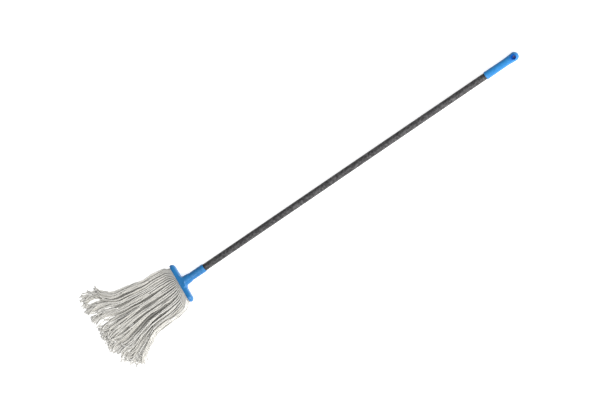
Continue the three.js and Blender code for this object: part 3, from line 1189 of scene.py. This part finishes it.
@dataclass
class StrandPile:
    """Strands that are let down on the floor until none lies in another.

    Each strand is a row of points. The points of strand i are paths[i], from its root to its end.
    """

    paths: np.ndarray
    thickness: float
    pinned: int
    guide: np.ndarray
    fall: float = 0.00016
    keep_speed: float = 0.6
    stiffness: float = 0.22
    near: float = 1.15
    crowd: int = 7
    calm_steps: int = 25
    search_every: int = 4

    def __post_init__(self) -> None:
        """Note how long and how bent each strand wants to be."""
        self.at = self.paths.copy()
        self.before = self.paths.copy()
        self.rest = np.linalg.norm(np.diff(self.paths, axis=1), axis=2)
        self.bend = self.paths[:, :-2] - 2 * self.paths[:, 1:-1] + self.paths[:, 2:]
        self.bend[..., 2] = 0.0

    def close_pairs(self) -> tuple[np.ndarray, np.ndarray]:
        """Find the points that are near enough to touch soon.

        Returns:
            The first and the second point of each pair, as places in the flat list of points.
        """
        flat = self.at.reshape(-1, 3)
        cell = np.floor(flat / (self.thickness * self.near)).astype(np.int64)
        cell -= cell.min(axis=0) - 1
        span = cell.max(axis=0) + 2
        key = (cell[:, 0] * span[1] + cell[:, 1]) * span[2] + cell[:, 2]
        order = np.argsort(key, kind="stable")
        ranked = key[order]
        nearby = [(x, y, z) for x in (-1, 0, 1) for y in (-1, 0, 1) for z in (-1, 0, 1)]
        firsts, seconds = [], []
        for x, y, z in nearby:
            wanted = key + (x * span[1] + y) * span[2] + z
            start = np.searchsorted(ranked, wanted)
            for k in range(self.crowd):
                place = np.minimum(start + k, len(ranked) - 1)
                held = ranked[place] == wanted
                first = np.nonzero(held)[0]
                second = order[place[held]]
                once = first < second
                firsts.append(first[once])
                seconds.append(second[once])
        first, second = np.concatenate(firsts), np.concatenate(seconds)
        count = self.at.shape[1]
        own = (first // count == second // count) & (np.abs(first - second) <= 2)
        return first[~own], second[~own]

    def part(self, first: np.ndarray, second: np.ndarray) -> None:
        """Push apart the points that lie in each other.

        Args:
            first: The first point of each pair.
            second: The second point of each pair.
        """
        flat = self.at.reshape(-1, 3)
        gap = flat[first] - flat[second]
        far = np.linalg.norm(gap, axis=1)
        close = far < self.thickness
        first, second, gap, far = first[close], second[close], gap[close], far[close]
        push = gap * ((self.thickness - far) * 0.5 / np.maximum(far, 1e-6))[:, None]
        total = len(flat)
        met = np.bincount(first, minlength=total) + np.bincount(second, minlength=total)
        for axis in range(3):
            move = np.bincount(first, push[:, axis], total) - np.bincount(second, push[:, axis], total)
            flat[:, axis] += move / np.maximum(met * 0.6, 1.0)

    def hold_lengths(self) -> None:
        """Bring every strand's links back to their lengths."""
        for _ in range(2):
            for start in (0, 1):
                a = self.at[:, start:-1:2]
                b = self.at[:, start + 1 :: 2]
                link = b - a
                far = np.linalg.norm(link, axis=2, keepdims=True)
                want = self.rest[:, start::2, None]
                shift = link * (0.5 * (1 - want / np.maximum(far, 1e-6)))
                a += shift
                b -= shift
            self.pin()

    def pin(self) -> None:
        """Put the points inside the header back, and lift the others onto the floor."""
        self.at[:, : self.pinned] = self.paths[:, : self.pinned]
        self.at[..., 2] = np.maximum(self.at[..., 2], self.thickness * 0.5)

    def settle(self, steps: int) -> np.ndarray:
        """Let the strands down.

        Args:
            steps: How many steps to take.

        Returns:
            The settled points.
        """
        pairs = self.close_pairs()
        for step in range(steps):
            calm = step > steps - self.calm_steps
            speed = (self.at - self.before) * (0.0 if calm else self.keep_speed)
            self.before = self.at.copy()
            self.at += speed
            if not calm:
                self.at[..., 2] -= self.fall
            pull = (self.paths[..., :2] - self.at[..., :2]) * self.guide[None, :, None]
            self.at[..., :2] += pull
            straight = self.at[:, :-2] - 2 * self.at[:, 1:-1] + self.at[:, 2:]
            self.at[:, 1:-1] += self.stiffness * (straight - self.bend)
            if step % self.search_every == 0:
                pairs = self.close_pairs()
            self.part(*pairs)
            self.hold_lengths()
        return self.at


@dataclass
class Lock:
    """A group of strands that hang together, between two shares of the fan from -1 to 1.

    Its strands gather most at one place along it. It wanders a little to one side, and its end
    can flick out.
    """

    low: float
    high: float
    wander: float
    gather: float
    gather_place: float
    flick: float
    gather_reach: float = 0.26

    @property
    def middle(self) -> float:
        """The share at its middle."""
        return (self.low + self.high) / 2

    def share(self, own: float, out: np.ndarray) -> np.ndarray:
        """Find where in the fan one of its strands lies.

        Args:
            own: The strand's share at the header.
            out: How far along the strand, from 0 to 1.

        Returns:
            The share at each place.
        """
        near = np.exp(-(((out - self.gather_place) / self.gather_reach) ** 2))
        return self.middle + (own - self.middle) * (1 - self.gather * near)


@dataclass
class Strand:
    """One strand's lock, its place in the header and its finished line."""

    lock: Lock
    layer: Layer
    row: int
    share: float
    root: Vector
    line: np.ndarray | None = None

    @property
    def in_tuft(self) -> bool:
        """Whether its end stands out of the fan in a tuft."""
        return self.share > 0.66 and self.layer is Layer.UPPER


@dataclass(frozen=True)
class Unevenness:
    """How far the strands stray from a neat fan. A pair of numbers is a range to draw from."""

    end: float = 0.006
    drift: float = 0.022
    stray_chance: float = 0.4
    stray: Point = (0.05, 0.14)
    wave: float = 0.0028
    wave_turns: Point = (1.0, 2.1)
    tip: float = 0.006
    height: float = 0.0015
    hook: float = 0.5
    hook_chance: float = 0.55
    hook_turn: Point = (0.7, 2.3)
    hook_points: Point = (6, 15)
    tuft_setback: float = 0.030
    tuft_turn: Point = (0.7, 1.4)
    tuft_points: int = 15


@dataclass
class CoverMap:
    """How high the yarn stands over each cell of the floor, averaged over the cells round it."""

    cell: float
    low: np.ndarray
    height: np.ndarray
    free: float = 0.0006
    full: float = 0.0050

    @classmethod
    def over(cls, points: np.ndarray, cell: float = 0.003, reach: int = 2) -> "CoverMap":
        """Map a pile of yarn.

        Args:
            points: Points of the pile.
            cell: The width of a cell.
            reach: How many cells to each side are averaged.

        Returns:
            The map.
        """
        low = points[:, :2].min(axis=0) - cell * (reach + 2)
        size = np.ceil((points[:, :2].max(axis=0) - low) / cell).astype(int) + reach + 2
        top = np.zeros(size)
        place = ((points[:, :2] - low) / cell).astype(int)
        np.maximum.at(top, (place[:, 0], place[:, 1]), points[:, 2])
        shifts = [(i, j) for i in range(-reach, reach + 1) for j in range(-reach, reach + 1)]
        mean = sum(np.roll(top, shift, axis=(0, 1)) for shift in shifts) / len(shifts)
        return cls(cell, low, mean)

    def buried(self, points: np.ndarray) -> np.ndarray:
        """Find how deep points lie in the pile, for the yarn's painted shade.

        Args:
            points: The points.

        Returns:
            Each point's depth, from 0 at the top to 1 deep down.
        """
        place = ((points[:, :2] - self.low) / self.cell).astype(int)
        place = np.clip(place, 0, np.array(self.height.shape) - 1)
        depth = self.height[place[:, 0], place[:, 1]] - points[:, 2]
        return np.clip((depth - self.free) / self.full, 0, 1)


@dataclass
class YarnMesh:
    """A mesh of yarn under way: points, faces and what each point knows."""

    points: list[np.ndarray] = field(default_factory=list)
    faces: list[np.ndarray] = field(default_factory=list)
    ends: list[list[int]] = field(default_factory=list)
    uvs: list[np.ndarray] = field(default_factory=list)
    values: dict[str, list[np.ndarray]] = field(default_factory=dict)
    count: int = 0

    def wind(self, centre: np.ndarray, size: np.ndarray, **values: np.ndarray | float) -> None:
        """Wind one strand's surface round its centre line.

        Args:
            centre: The centre of each ring.
            size: The surface's distance from the centre, for each ring and side.
            **values: What each point knows, as one number, one for each ring, or one for each
                ring and side.
        """
        rings, sides = size.shape
        ahead = np.gradient(centre, axis=0)
        ahead /= np.maximum(np.linalg.norm(ahead, axis=1, keepdims=True), 1e-9)
        side = np.cross(ahead, (0.0, 0.0, 1.0)) + 1e-9
        side /= np.linalg.norm(side, axis=1, keepdims=True)
        above = np.cross(side, ahead)
        turn = np.arange(sides) / sides * math.tau
        place = (
            centre[:, None]
            + side[:, None] * (size * np.cos(turn))[..., None]
            + above[:, None] * (size * np.sin(turn))[..., None]
        )
        place[..., 2] = np.maximum(place[..., 2], 0.0001)
        index = np.arange(rings * sides).reshape(rings, sides) + self.count
        a, b = index[:-1], np.roll(index[:-1], -1, axis=1)
        c, d = np.roll(index[1:], -1, axis=1), index[1:]
        self.points.append(place.reshape(-1, 3))
        self.faces.append(np.stack([a, d, c, b], axis=2).reshape(-1, 4))
        self.ends += [index[0].tolist(), index[-1, ::-1].tolist()]
        around = np.tile(turn / math.tau, rings)
        self.uvs.append(np.stack([around, np.repeat(distance_along(centre), sides)], axis=1))
        for name, value in values.items():
            value = np.asarray(value, float)
            value = value[:, None] if value.ndim == 1 else value
            self.values.setdefault(name, []).append(np.broadcast_to(value, size.shape).reshape(-1))
        self.count += rings * sides

    def finish(self, name: str) -> bpy.types.Object:
        """Make the mesh.

        Args:
            name: The piece's name.

        Returns:
            The new mesh object.
        """
        mesh = bpy.data.meshes.new(name)
        mesh.from_pydata(np.concatenate(self.points), [], np.concatenate(self.faces).tolist() + self.ends)
        mesh.update()
        piece = bpy.data.objects.new(name, mesh)
        bpy.context.scene.collection.objects.link(piece)
        layer = mesh.uv_layers.new(name="strand")
        corner = np.zeros(len(mesh.loops), np.int32)
        mesh.loops.foreach_get("vertex_index", corner)
        layer.data.foreach_set("uv", np.concatenate(self.uvs)[corner].reshape(-1).astype(np.float32))
        for label, parts in self.values.items():
            attribute = mesh.attributes.new(label, "FLOAT", "POINT")
            attribute.data.foreach_set("value", np.concatenate(parts).astype(np.float32))
        mesh.polygons.foreach_set("use_smooth", np.ones(len(mesh.polygons), bool))
        return piece


@dataclass
class Fringe:
    """The yarn: folded over the keeper, pinched in the header and fanned out on the floor."""

    thickness: float = 0.0042
    longest: float = 0.29
    row_heights: tuple[float, ...] = (0.0066, 0.0090, 0.0111)
    room: float = 0.0112
    per_row: int = 30
    upper_per_row: int = 23
    inside: float = 0.004
    widest: float = 0.157
    points: int = 76
    pinned: int = 2
    settle_steps: int = 190
    post_place: float = Header.post_place
    post_room: float = 0.0060
    sparse_row: int = 1
    upper_locks: int = 14
    under_locks: int = 6
    plies: int = 3
    ply_pitch: float = 0.016
    ring_gap: float = 0.0022
    ring_sides: int = 12
    fray_plies: int = 5
    fray_radius: float = 0.00135
    under_shade: float = 0.7
    spread: float = 0.45
    pinch: float = 0.026
    upper_rise: float = 0.010
    loose_from: float = 0.6
    play: Unevenness = Unevenness()
    keeper_back: float = 0.0080
    bend_start: float = 0.001
    bend_end: float = 0.036
    declared: int = 40
    seed: int = 11

    # The fan's outer edges: distance from the header's mouth, and from the handle's axis.
    left_edge: Profile = (
        (0.0, 0.063), (0.02, 0.072), (0.063, 0.080), (0.096, 0.080), (0.135, 0.089),
        (0.163, 0.096), (0.188, 0.100), (0.205, 0.108), (0.222, 0.124), (0.242, 0.138),
        (0.262, 0.146), (0.285, 0.150), (0.31, 0.152),
    )
    right_edge: Profile = (
        (0.0, 0.063), (0.015, 0.070), (0.06, 0.079), (0.116, 0.080), (0.141, 0.083),
        (0.161, 0.095), (0.186, 0.111), (0.200, 0.118), (0.215, 0.130), (0.235, 0.137),
        (0.31, 0.142),
    )
    # How far the strands reach from the mouth, from the fan's -Y side to its +Y side.
    reach_across: Profile = (
        (-1.0, 0.224), (-0.9, 0.234), (-0.78, 0.254), (-0.65, 0.268), (-0.5, 0.274),
        (-0.3, 0.293), (0.0, 0.297), (0.3, 0.293), (0.6, 0.301), (0.78, 0.300),
        (0.9, 0.294), (1.0, 0.288),
    )

    def __post_init__(self) -> None:
        """Take the header's place from the frame and draw the locks."""
        low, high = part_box("header_cap")
        self.mouth = low.x
        self.axis = high.z / 2
        self.straight = (high.y - low.y) / 2 - self.axis
        self.random = np.random.default_rng(self.seed)
        self.strands = self.draw_strands(Layer.UPPER, self.draw_locks(self.upper_locks, True))
        self.strands += self.draw_strands(Layer.UNDER, self.draw_locks(self.under_locks, False))

    def draw_locks(self, count: int, loose: bool) -> list[Lock]:
        """Draw the locks of one layer.

        Args:
            count: How many there are.
            loose: Whether they stand apart from each other, as they do on top.

        Returns:
            The locks, from the fan's -Y side to its +Y side.
        """
        widths = self.random.uniform(0.7, 1.4, count)
        bounds = np.concatenate([[0], np.cumsum(widths)]) / widths.sum() * 2 - 1
        locks = []
        for low, high in zip(bounds, bounds[1:]):
            inner = min(1.6 - 0.8 * abs(low + high), 1)
            gather = self.random.uniform(0.3, 0.58) + 0.24 * inner if loose else 0.05
            ease = 1.0 if loose else 0.1
            place = self.random.uniform(0.42, 0.8)
            wander = self.random.normal(0, 0.004) * ease
            flick = self.random.normal(0, 0.006) * ease
            locks.append(Lock(low, high, wander, gather, place, flick))
        return locks

    def draw_strands(self, layer: Layer, locks: Sequence[Lock]) -> list[Strand]:
        """Draw the place in the header of every strand of one layer, row by row.

        Args:
            layer: The layer.
            locks: Its locks.

        Returns:
            The strands.
        """
        strands = []
        for row, height in enumerate(self.row_heights):
            if layer is Layer.UPPER and row == self.sparse_row:
                continue
            stagger = 0.25 if row % 2 else -0.25
            room = self.straight + math.sqrt(self.room**2 - height**2)
            count = self.upper_per_row if layer is Layer.UPPER else self.per_row
            for i in range(count):
                share = ((i + 0.5 + stagger) / count * 2 - 1) * 0.99
                lock = next(lock for lock in locks if share <= lock.high)
                root = Vector((self.mouth, share * room, self.axis + layer.value * height))
                strands.append(Strand(lock, layer, row, share, root))
        return strands

    def edge(self, reach: np.ndarray, left: bool) -> np.ndarray:
        """Read the fan's half width on one side.

        Args:
            reach: Distances from the header's mouth.
            left: Whether the side is +Y.

        Returns:
            The half width at each distance.
        """
        stops = np.array(self.left_edge if left else self.right_edge)
        fine = np.linspace(stops[0, 0], stops[-1, 0], 160)
        width = np.interp(fine, stops[:, 0], stops[:, 1])
        kernel = np.hanning(11)
        soft = np.convolve(np.pad(width, 5, mode="edge"), kernel / kernel.sum(), mode="valid")
        return np.interp(reach, fine, soft)

    def first_line(self, strand: Strand) -> np.ndarray:
        """Lay one strand in the fan, before it settles.

        Args:
            strand: The strand.

        Returns:
            Its points, from inside the header to its end.
        """
        stops = np.array(self.reach_across)
        furthest = np.interp(strand.share, stops[:, 0], stops[:, 1])
        furthest -= abs(self.random.normal(0, self.play.end))
        furthest -= self.play.tuft_setback if strand.in_tuft else 0.0
        reach = np.linspace(-self.inside, furthest, 200)
        out = np.clip(reach / self.longest, 0, 1)
        y = self.across(strand, reach, out)
        rise = self.upper_rise if strand.layer is Layer.UPPER else 0.0
        z = strand.root.z + (rise + self.random.normal(0, self.play.height)) * out
        line = np.stack([self.mouth - reach, y, np.maximum(z, self.thickness / 2)], axis=1)
        along = distance_along(line)
        at = np.linspace(0, along[-1], self.points)
        line = np.stack([np.interp(at, along, line[:, k]) for k in range(3)], axis=1)
        return self.kept_in(self.hooked(strand, line))

    def across(self, strand: Strand, reach: np.ndarray, out: np.ndarray) -> np.ndarray:
        """Find how far to the side a strand lies in the fan.

        Args:
            strand: The strand.
            reach: Distances from the header's mouth.
            out: The same distances, as shares of the longest strand.

        Returns:
            Its place along Y at each distance.
        """
        lock, own, play = strand.lock, strand.share, self.play
        drift = self.random.normal(0, play.drift)
        on_top = strand.layer is Layer.UPPER and strand.row == len(self.row_heights) - 1
        if on_top and self.random.random() < play.stray_chance:
            drift += self.random.choice([-1, 1]) * self.random.uniform(*play.stray)
        inner = 1 - abs(own)
        share = lock.share(own, out) + drift * np.sin(out * math.pi / 2) ** 2 * min(inner * 5, 1)
        share += self.spread * share * np.abs(share) * (1 - np.minimum(np.abs(share), 1))
        outward = np.maximum(reach, 0)
        width = np.where(share > 0, self.edge(outward, True), self.edge(outward, False))
        phase, turns = self.random.uniform(0, math.tau), self.random.uniform(*play.wave_turns)
        y = share * width + lock.wander * np.sin(out * math.pi)
        y += np.sin(out * math.tau * turns + phase) * play.wave * out
        loose = np.clip((out - self.loose_from) / (1 - self.loose_from), 0, 1)
        y += lock.flick * loose**1.6 + self.random.normal(0, play.tip) * loose**2
        tight = np.clip(reach / self.pinch, 0, 1) ** 0.8
        return strand.root.y * (1 - tight) + y * tight

    def hooked(self, strand: Strand, line: np.ndarray) -> np.ndarray:
        """Give a strand's end the hook it lies in.

        Args:
            strand: The strand.
            line: Its points.

        Returns:
            The points, with the end curled.
        """
        play = self.play
        if strand.in_tuft:
            return self.curled(line, -self.random.uniform(*play.tuft_turn), play.tuft_points)
        strength = self.random.normal(0, play.hook)
        if strand.layer is Layer.UPPER and self.random.random() < play.hook_chance:
            strength += self.random.choice([-1, 1]) * self.random.uniform(*play.hook_turn)
        return self.curled(line, strength, int(self.random.uniform(*play.hook_points)))

    def kept_in(self, line: np.ndarray) -> np.ndarray:
        """Bend back the part of a strand that goes too far out to a side.

        Args:
            line: The strand's points.

        Returns:
            The points, none further out than the widest half width.
        """
        give = 0.028
        far = np.maximum(np.abs(line[:, 1]) - (self.widest - give), 0)
        line = line.copy()
        line[:, 1] -= np.sign(line[:, 1]) * (far - give * np.tanh(far / give))
        return line

    def curled(self, line: np.ndarray, strength: float, count: int) -> np.ndarray:
        """Turn the last part of a strand into a loose hook.

        Args:
            line: The strand's points.
            strength: How far it turns, in radians, to the left seen along the strand.
            count: How many points turn.

        Returns:
            The points, with the end curled.
        """
        line = line.copy()
        step = np.diff(line, axis=0)
        for k in range(count):
            i = len(step) - count + k
            angle = strength * ((k + 1) / count) ** 1.3
            c, s = math.cos(angle), math.sin(angle)
            x, y = step[i, 0], step[i, 1]
            step[i, 0], step[i, 1] = c * x - s * y, s * x + c * y
        line[1:] = line[0] + np.cumsum(step, axis=0)
        return line

    def lay(self) -> None:
        """Lay all the strands and let them down on the floor."""
        paths = np.stack([self.first_line(strand) for strand in self.strands])
        out = np.linspace(0, 1, paths.shape[1])
        guide = np.interp(out, (0, 0.1, 0.7, 1), (0.2, 0.12, 0.14, 0.03))
        pile = StrandPile(paths, self.thickness * 0.96, self.pinned, guide)
        paths = pile.settle(self.settle_steps)
        for strand, path in zip(self.strands, paths):
            strand.line = path
        self.cover = CoverMap.over(paths.reshape(-1, 3))
        log.info("yarn: highest point %.1f mm", paths[..., 2].max() * 1000)

    def add_strand(self, mesh: YarnMesh, line: np.ndarray, shade: float = 0.0) -> np.ndarray:
        """Wind plied yarn round a line.

        Args:
            mesh: The mesh that it goes in.
            line: The line's points.
            shade: How much painted shade, for the strands that lie above it, darkens its middle, from 0 to 1.

        Returns:
            The centre of each ring.
        """
        along = distance_along(line)
        at = np.linspace(0, along[-1], max(8, round(along[-1] / self.ring_gap)) + 1)
        centre = smooth_through(along, line, at)
        turn = np.arange(self.ring_sides) / self.ring_sides * math.tau
        start = self.random.uniform(0, math.tau)
        twist = start + at / (self.ply_pitch * self.random.uniform(0.85, 1.2)) * math.tau
        lobe = np.abs(np.cos((turn[None, :] - twist[:, None]) * self.plies / 2))
        radius = self.thickness / 2
        swell = 1 + 0.05 * np.sin(at / 0.019 + start) + 0.04 * np.sin(at / 0.0071 + start * 3)
        close = np.clip((along[-1] - at) / (radius * 1.2), 0.12, 1) ** 0.5
        size = radius * (0.76 + 0.27 * lobe) * (swell * close)[:, None]
        # per-strand tone at random, plus painted light that makes every strand paler near the header
        tint = np.clip(self.random.normal(0.5, 0.26) + 0.5 * np.exp(-at / 0.05), 0, 1)
        # painted shade in the grooves between the plies, less of it near the header
        groove = np.clip(1 - lobe * 1.6, 0, 1) * np.clip(at / 0.045, 0.3, 1)[:, None]
        middle = np.sin(np.clip(at / 0.24, 0, 1) * math.pi) ** 0.6
        # painted shade: darker where other strands lie above, and in the middle of under strands; only the
        # strand's upper side gets it
        cover = self.cover.buried(centre) * np.clip(at / 0.05, 0.1, 1)
        buried = np.maximum(cover, shade * middle)
        buried = buried[:, None] * np.clip(0.6 + np.sin(turn), 0, 1)
        mesh.wind(centre, size, strand_tint=tint, ply_groove=groove, buried=buried)
        return centre

    def add_frays(self, mesh: YarnMesh, line: np.ndarray) -> None:
        """Let the plies of a strand's cut end spring apart.

        Args:
            mesh: The mesh that they go in.
            line: The strand's points.
        """
        ahead = line[-1] - line[-3]
        ahead /= np.linalg.norm(ahead)
        side = np.cross(ahead, (0, 0, 1.0))
        side /= max(np.linalg.norm(side), 1e-9)
        above = np.cross(side, ahead)
        tint = float(np.clip(self.random.normal(0.75, 0.15), 0, 1))
        start = self.random.uniform(0, math.tau)
        for ply in range(self.fray_plies):
            angle = start + ply / self.fray_plies * math.tau
            away = side * math.cos(angle) + above * math.sin(angle) * 0.6
            length = self.random.uniform(0.004, 0.009)
            spread = self.random.uniform(0.2, 0.75)
            t = np.linspace(0, 1, 7)[:, None]
            centre = line[-1] - ahead * 0.003 + away * 0.0009
            centre = centre + ahead * (length * t) + away * (length * spread * t**1.7)
            centre[:, 2] = np.maximum(centre[:, 2] - 0.002 * t[:, 0] ** 2, 0.0008)
            size = self.fray_radius * (1 - 0.6 * t**2) * np.ones((1, 6))
            mesh.wind(centre, size, strand_tint=tint, ply_groove=0.0, buried=self.cover.buried(centre))

    def fold_line(self, strand: Strand) -> np.ndarray:
        """Find how a strand turns round the back of the keeper inside the header.

        Args:
            strand: The upper strand. The loop joins it to the one that lies under it.

        Returns:
            The loop's points.
        """
        height = strand.root.z - self.axis
        back = self.keeper_back + 0.0005 * strand.row
        turn = min(height, 0.0088)
        half = [
            (0.0025, height),
            (back - 0.0032, height),
            (back - 0.0008, turn - 0.001),
            (back, turn - 0.0035),
        ]
        stations = half + [(back, 0.0)] + [(x, -z) for x, z in reversed(half)]
        points = []
        for x, z in stations:
            y = strand.root.y
            for post in (-self.post_place, self.post_place):
                if x > 0.006 and abs(z) < 0.006 and abs(y - post) < self.post_room:
                    y = post + math.copysign(self.post_room, y - post)
            points.append((self.mouth + x, y, self.axis + z))
        return np.array(points)

    def furthest(self) -> set[int]:
        """Choose the strands whose ends stand furthest out of the fan.

        Returns:
            Their places in the list of strands.
        """
        side_weight = 1.6
        ends = [strand.line[-1] for strand in self.strands]
        reach = [math.hypot(end[0] - self.mouth, end[1] * side_weight) for end in ends]
        return set(np.argsort(reach)[::-1][: self.declared].tolist())

    def dress(self, piece: bpy.types.Object, cotton: bpy.types.Material, nodes: Sequence[str]) -> None:
        """Give a yarn piece its finish, hide the frame's nodes that it stands for, and set its place into its
        mesh.

        Args:
            piece: The finished piece.
            cotton: Its finish.
            nodes: The nodes of the frame that it stands for.
        """
        piece.data.materials.append(cotton)
        if nodes:
            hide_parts(*nodes)
        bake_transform(piece)

    def node_for(self, strand: Strand) -> str:
        """Name the frame's yarn lock that a strand belongs to."""
        word, count = ("upper", 8) if strand.layer is Layer.UPPER else ("under", 7)
        return f"yarn_lock_{word}_{int((strand.share + 1) / 2 * count) + 1}"

    def shade_of(self, strand: Strand) -> float:
        """Find how much painted shade, for the upper layer above it, darkens a strand: only an under one, and
        less at the edges.
        """
        if strand.layer is Layer.UPPER:
            return 0.0
        return self.under_shade * min((1 - abs(strand.share)) / 0.3, 1.0) ** 1.5

    def build_long_strand(self, number: int, strand: Strand, cotton: bpy.types.Material) -> None:
        """Build one of the strands that reach furthest, as a piece of its own.

        Args:
            number: Its number among them.
            strand: The strand.
            cotton: Its finish.
        """
        mesh = YarnMesh()
        centre = self.add_strand(mesh, strand.line, self.shade_of(strand))
        piece = mesh.finish(f"long_strand_{number:02d}")
        self.dress(piece, cotton, [self.node_for(strand)])

    def build(self, cotton: bpy.types.Material) -> None:
        """Build all the yarn.

        Args:
            cotton: Its finish.
        """
        self.lay()
        chosen = self.furthest()
        for number, i in enumerate(sorted(chosen), 1):
            self.build_long_strand(number, self.strands[i], cotton)
        meshes: dict[str, YarnMesh] = {}
        for i, strand in enumerate(self.strands):
            if i not in chosen:
                mesh = meshes.setdefault(self.node_for(strand), YarnMesh())
                self.add_strand(mesh, strand.line, self.shade_of(strand))
        for node, mesh in sorted(meshes.items()):
            self.dress(mesh.finish(node.replace("yarn_lock", "strands")), cotton, [node])
        frays, fold = YarnMesh(), YarnMesh()
        for strand in self.strands:
            self.add_frays(frays, strand.line)
            if strand.layer is Layer.UPPER:
                self.add_strand(fold, self.fold_line(strand))
        self.dress(frays.finish("frayed_ends"), cotton, [])
        hand_over(fold.finish("yarn_loops"), "yarn_loops", Body.HEAD, cotton, ["yarn_fold"])
        log.info("yarn: %d strands, %d of them stated as cords", len(self.strands), len(chosen))


def distance_along(line: np.ndarray) -> np.ndarray:
    """Measure how far along a line each of its points is.

    Args:
        line: The line's points.

    Returns:
        Each point's distance from the first.
    """
    steps = np.linalg.norm(np.diff(line, axis=0), axis=1)
    return np.concatenate([[0], np.cumsum(steps)])


def smooth_through(along: np.ndarray, line: np.ndarray, at: np.ndarray) -> np.ndarray:
    """Read a smooth curve through a line's points.

    Args:
        along: Each point's distance along the line.
        line: The points.
        at: The distances to read.

    Returns:
        The points at those distances.
    """
    slope = np.gradient(line, along, axis=0)
    i = np.clip(np.searchsorted(along, at, side="right") - 1, 0, len(along) - 2)
    span = along[i + 1] - along[i]
    t = ((at - along[i]) / span)[:, None]
    span = span[:, None]
    return (
        (2 * t**3 - 3 * t**2 + 1) * line[i]
        + (t**3 - 2 * t**2 + t) * span * slope[i]
        + (-2 * t**3 + 3 * t**2) * line[i + 1]
        + (t**3 - t**2) * span * slope[i + 1]
    )


def dress_hidden(finishes: dict[str, bpy.types.Material]) -> None:
    """Give the frame's own hidden pieces their finishes.

    Args:
        finishes: The finish of each node, by its name.
    """
    for name, material in finishes.items():
        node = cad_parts[name]
        node.data.materials.clear()
        node.data.materials.append(material)


def main() -> None:
    """Build the studio and the mop, and report each piece."""
    logging.basicConfig(level=logging.INFO, format="%(name)s: %(message)s", stream=sys.stdout)
    Studio().build()
    blue = MouldedPlastic(Slot.BLUE.value, (0.014, 0.178, 0.46), (0.20, 0.40, 0.72)).build()
    keeper = MouldedPlastic(Slot.KEEPER.value, (0.05, 0.20, 0.50), (0.3, 0.45, 0.7), roughness=0.45).build()
    steel = BareMetal(Slot.STEEL.value, (0.45, 0.46, 0.48), 0.3).build()
    zinc = BareMetal(Slot.ZINC.value, (0.62, 0.63, 0.65), 0.22).build()
    cotton = CottonYarn().build()
    Header().build(blue)
    Adapter().build(blue)
    joints = (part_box("thread_adapter")[1].x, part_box("grip_cap")[0].x)
    Tube().build(TubeSkin(joints).build())
    Grip().build(blue)
    dress_hidden(
        {
            "steel_tube": steel,
            "keeper_bar": keeper,
            "keeper_screw_left": zinc,
            "keeper_screw_right": zinc,
        }
    )
    Fringe().build(cotton)


if __name__ == "__main__":
    main()
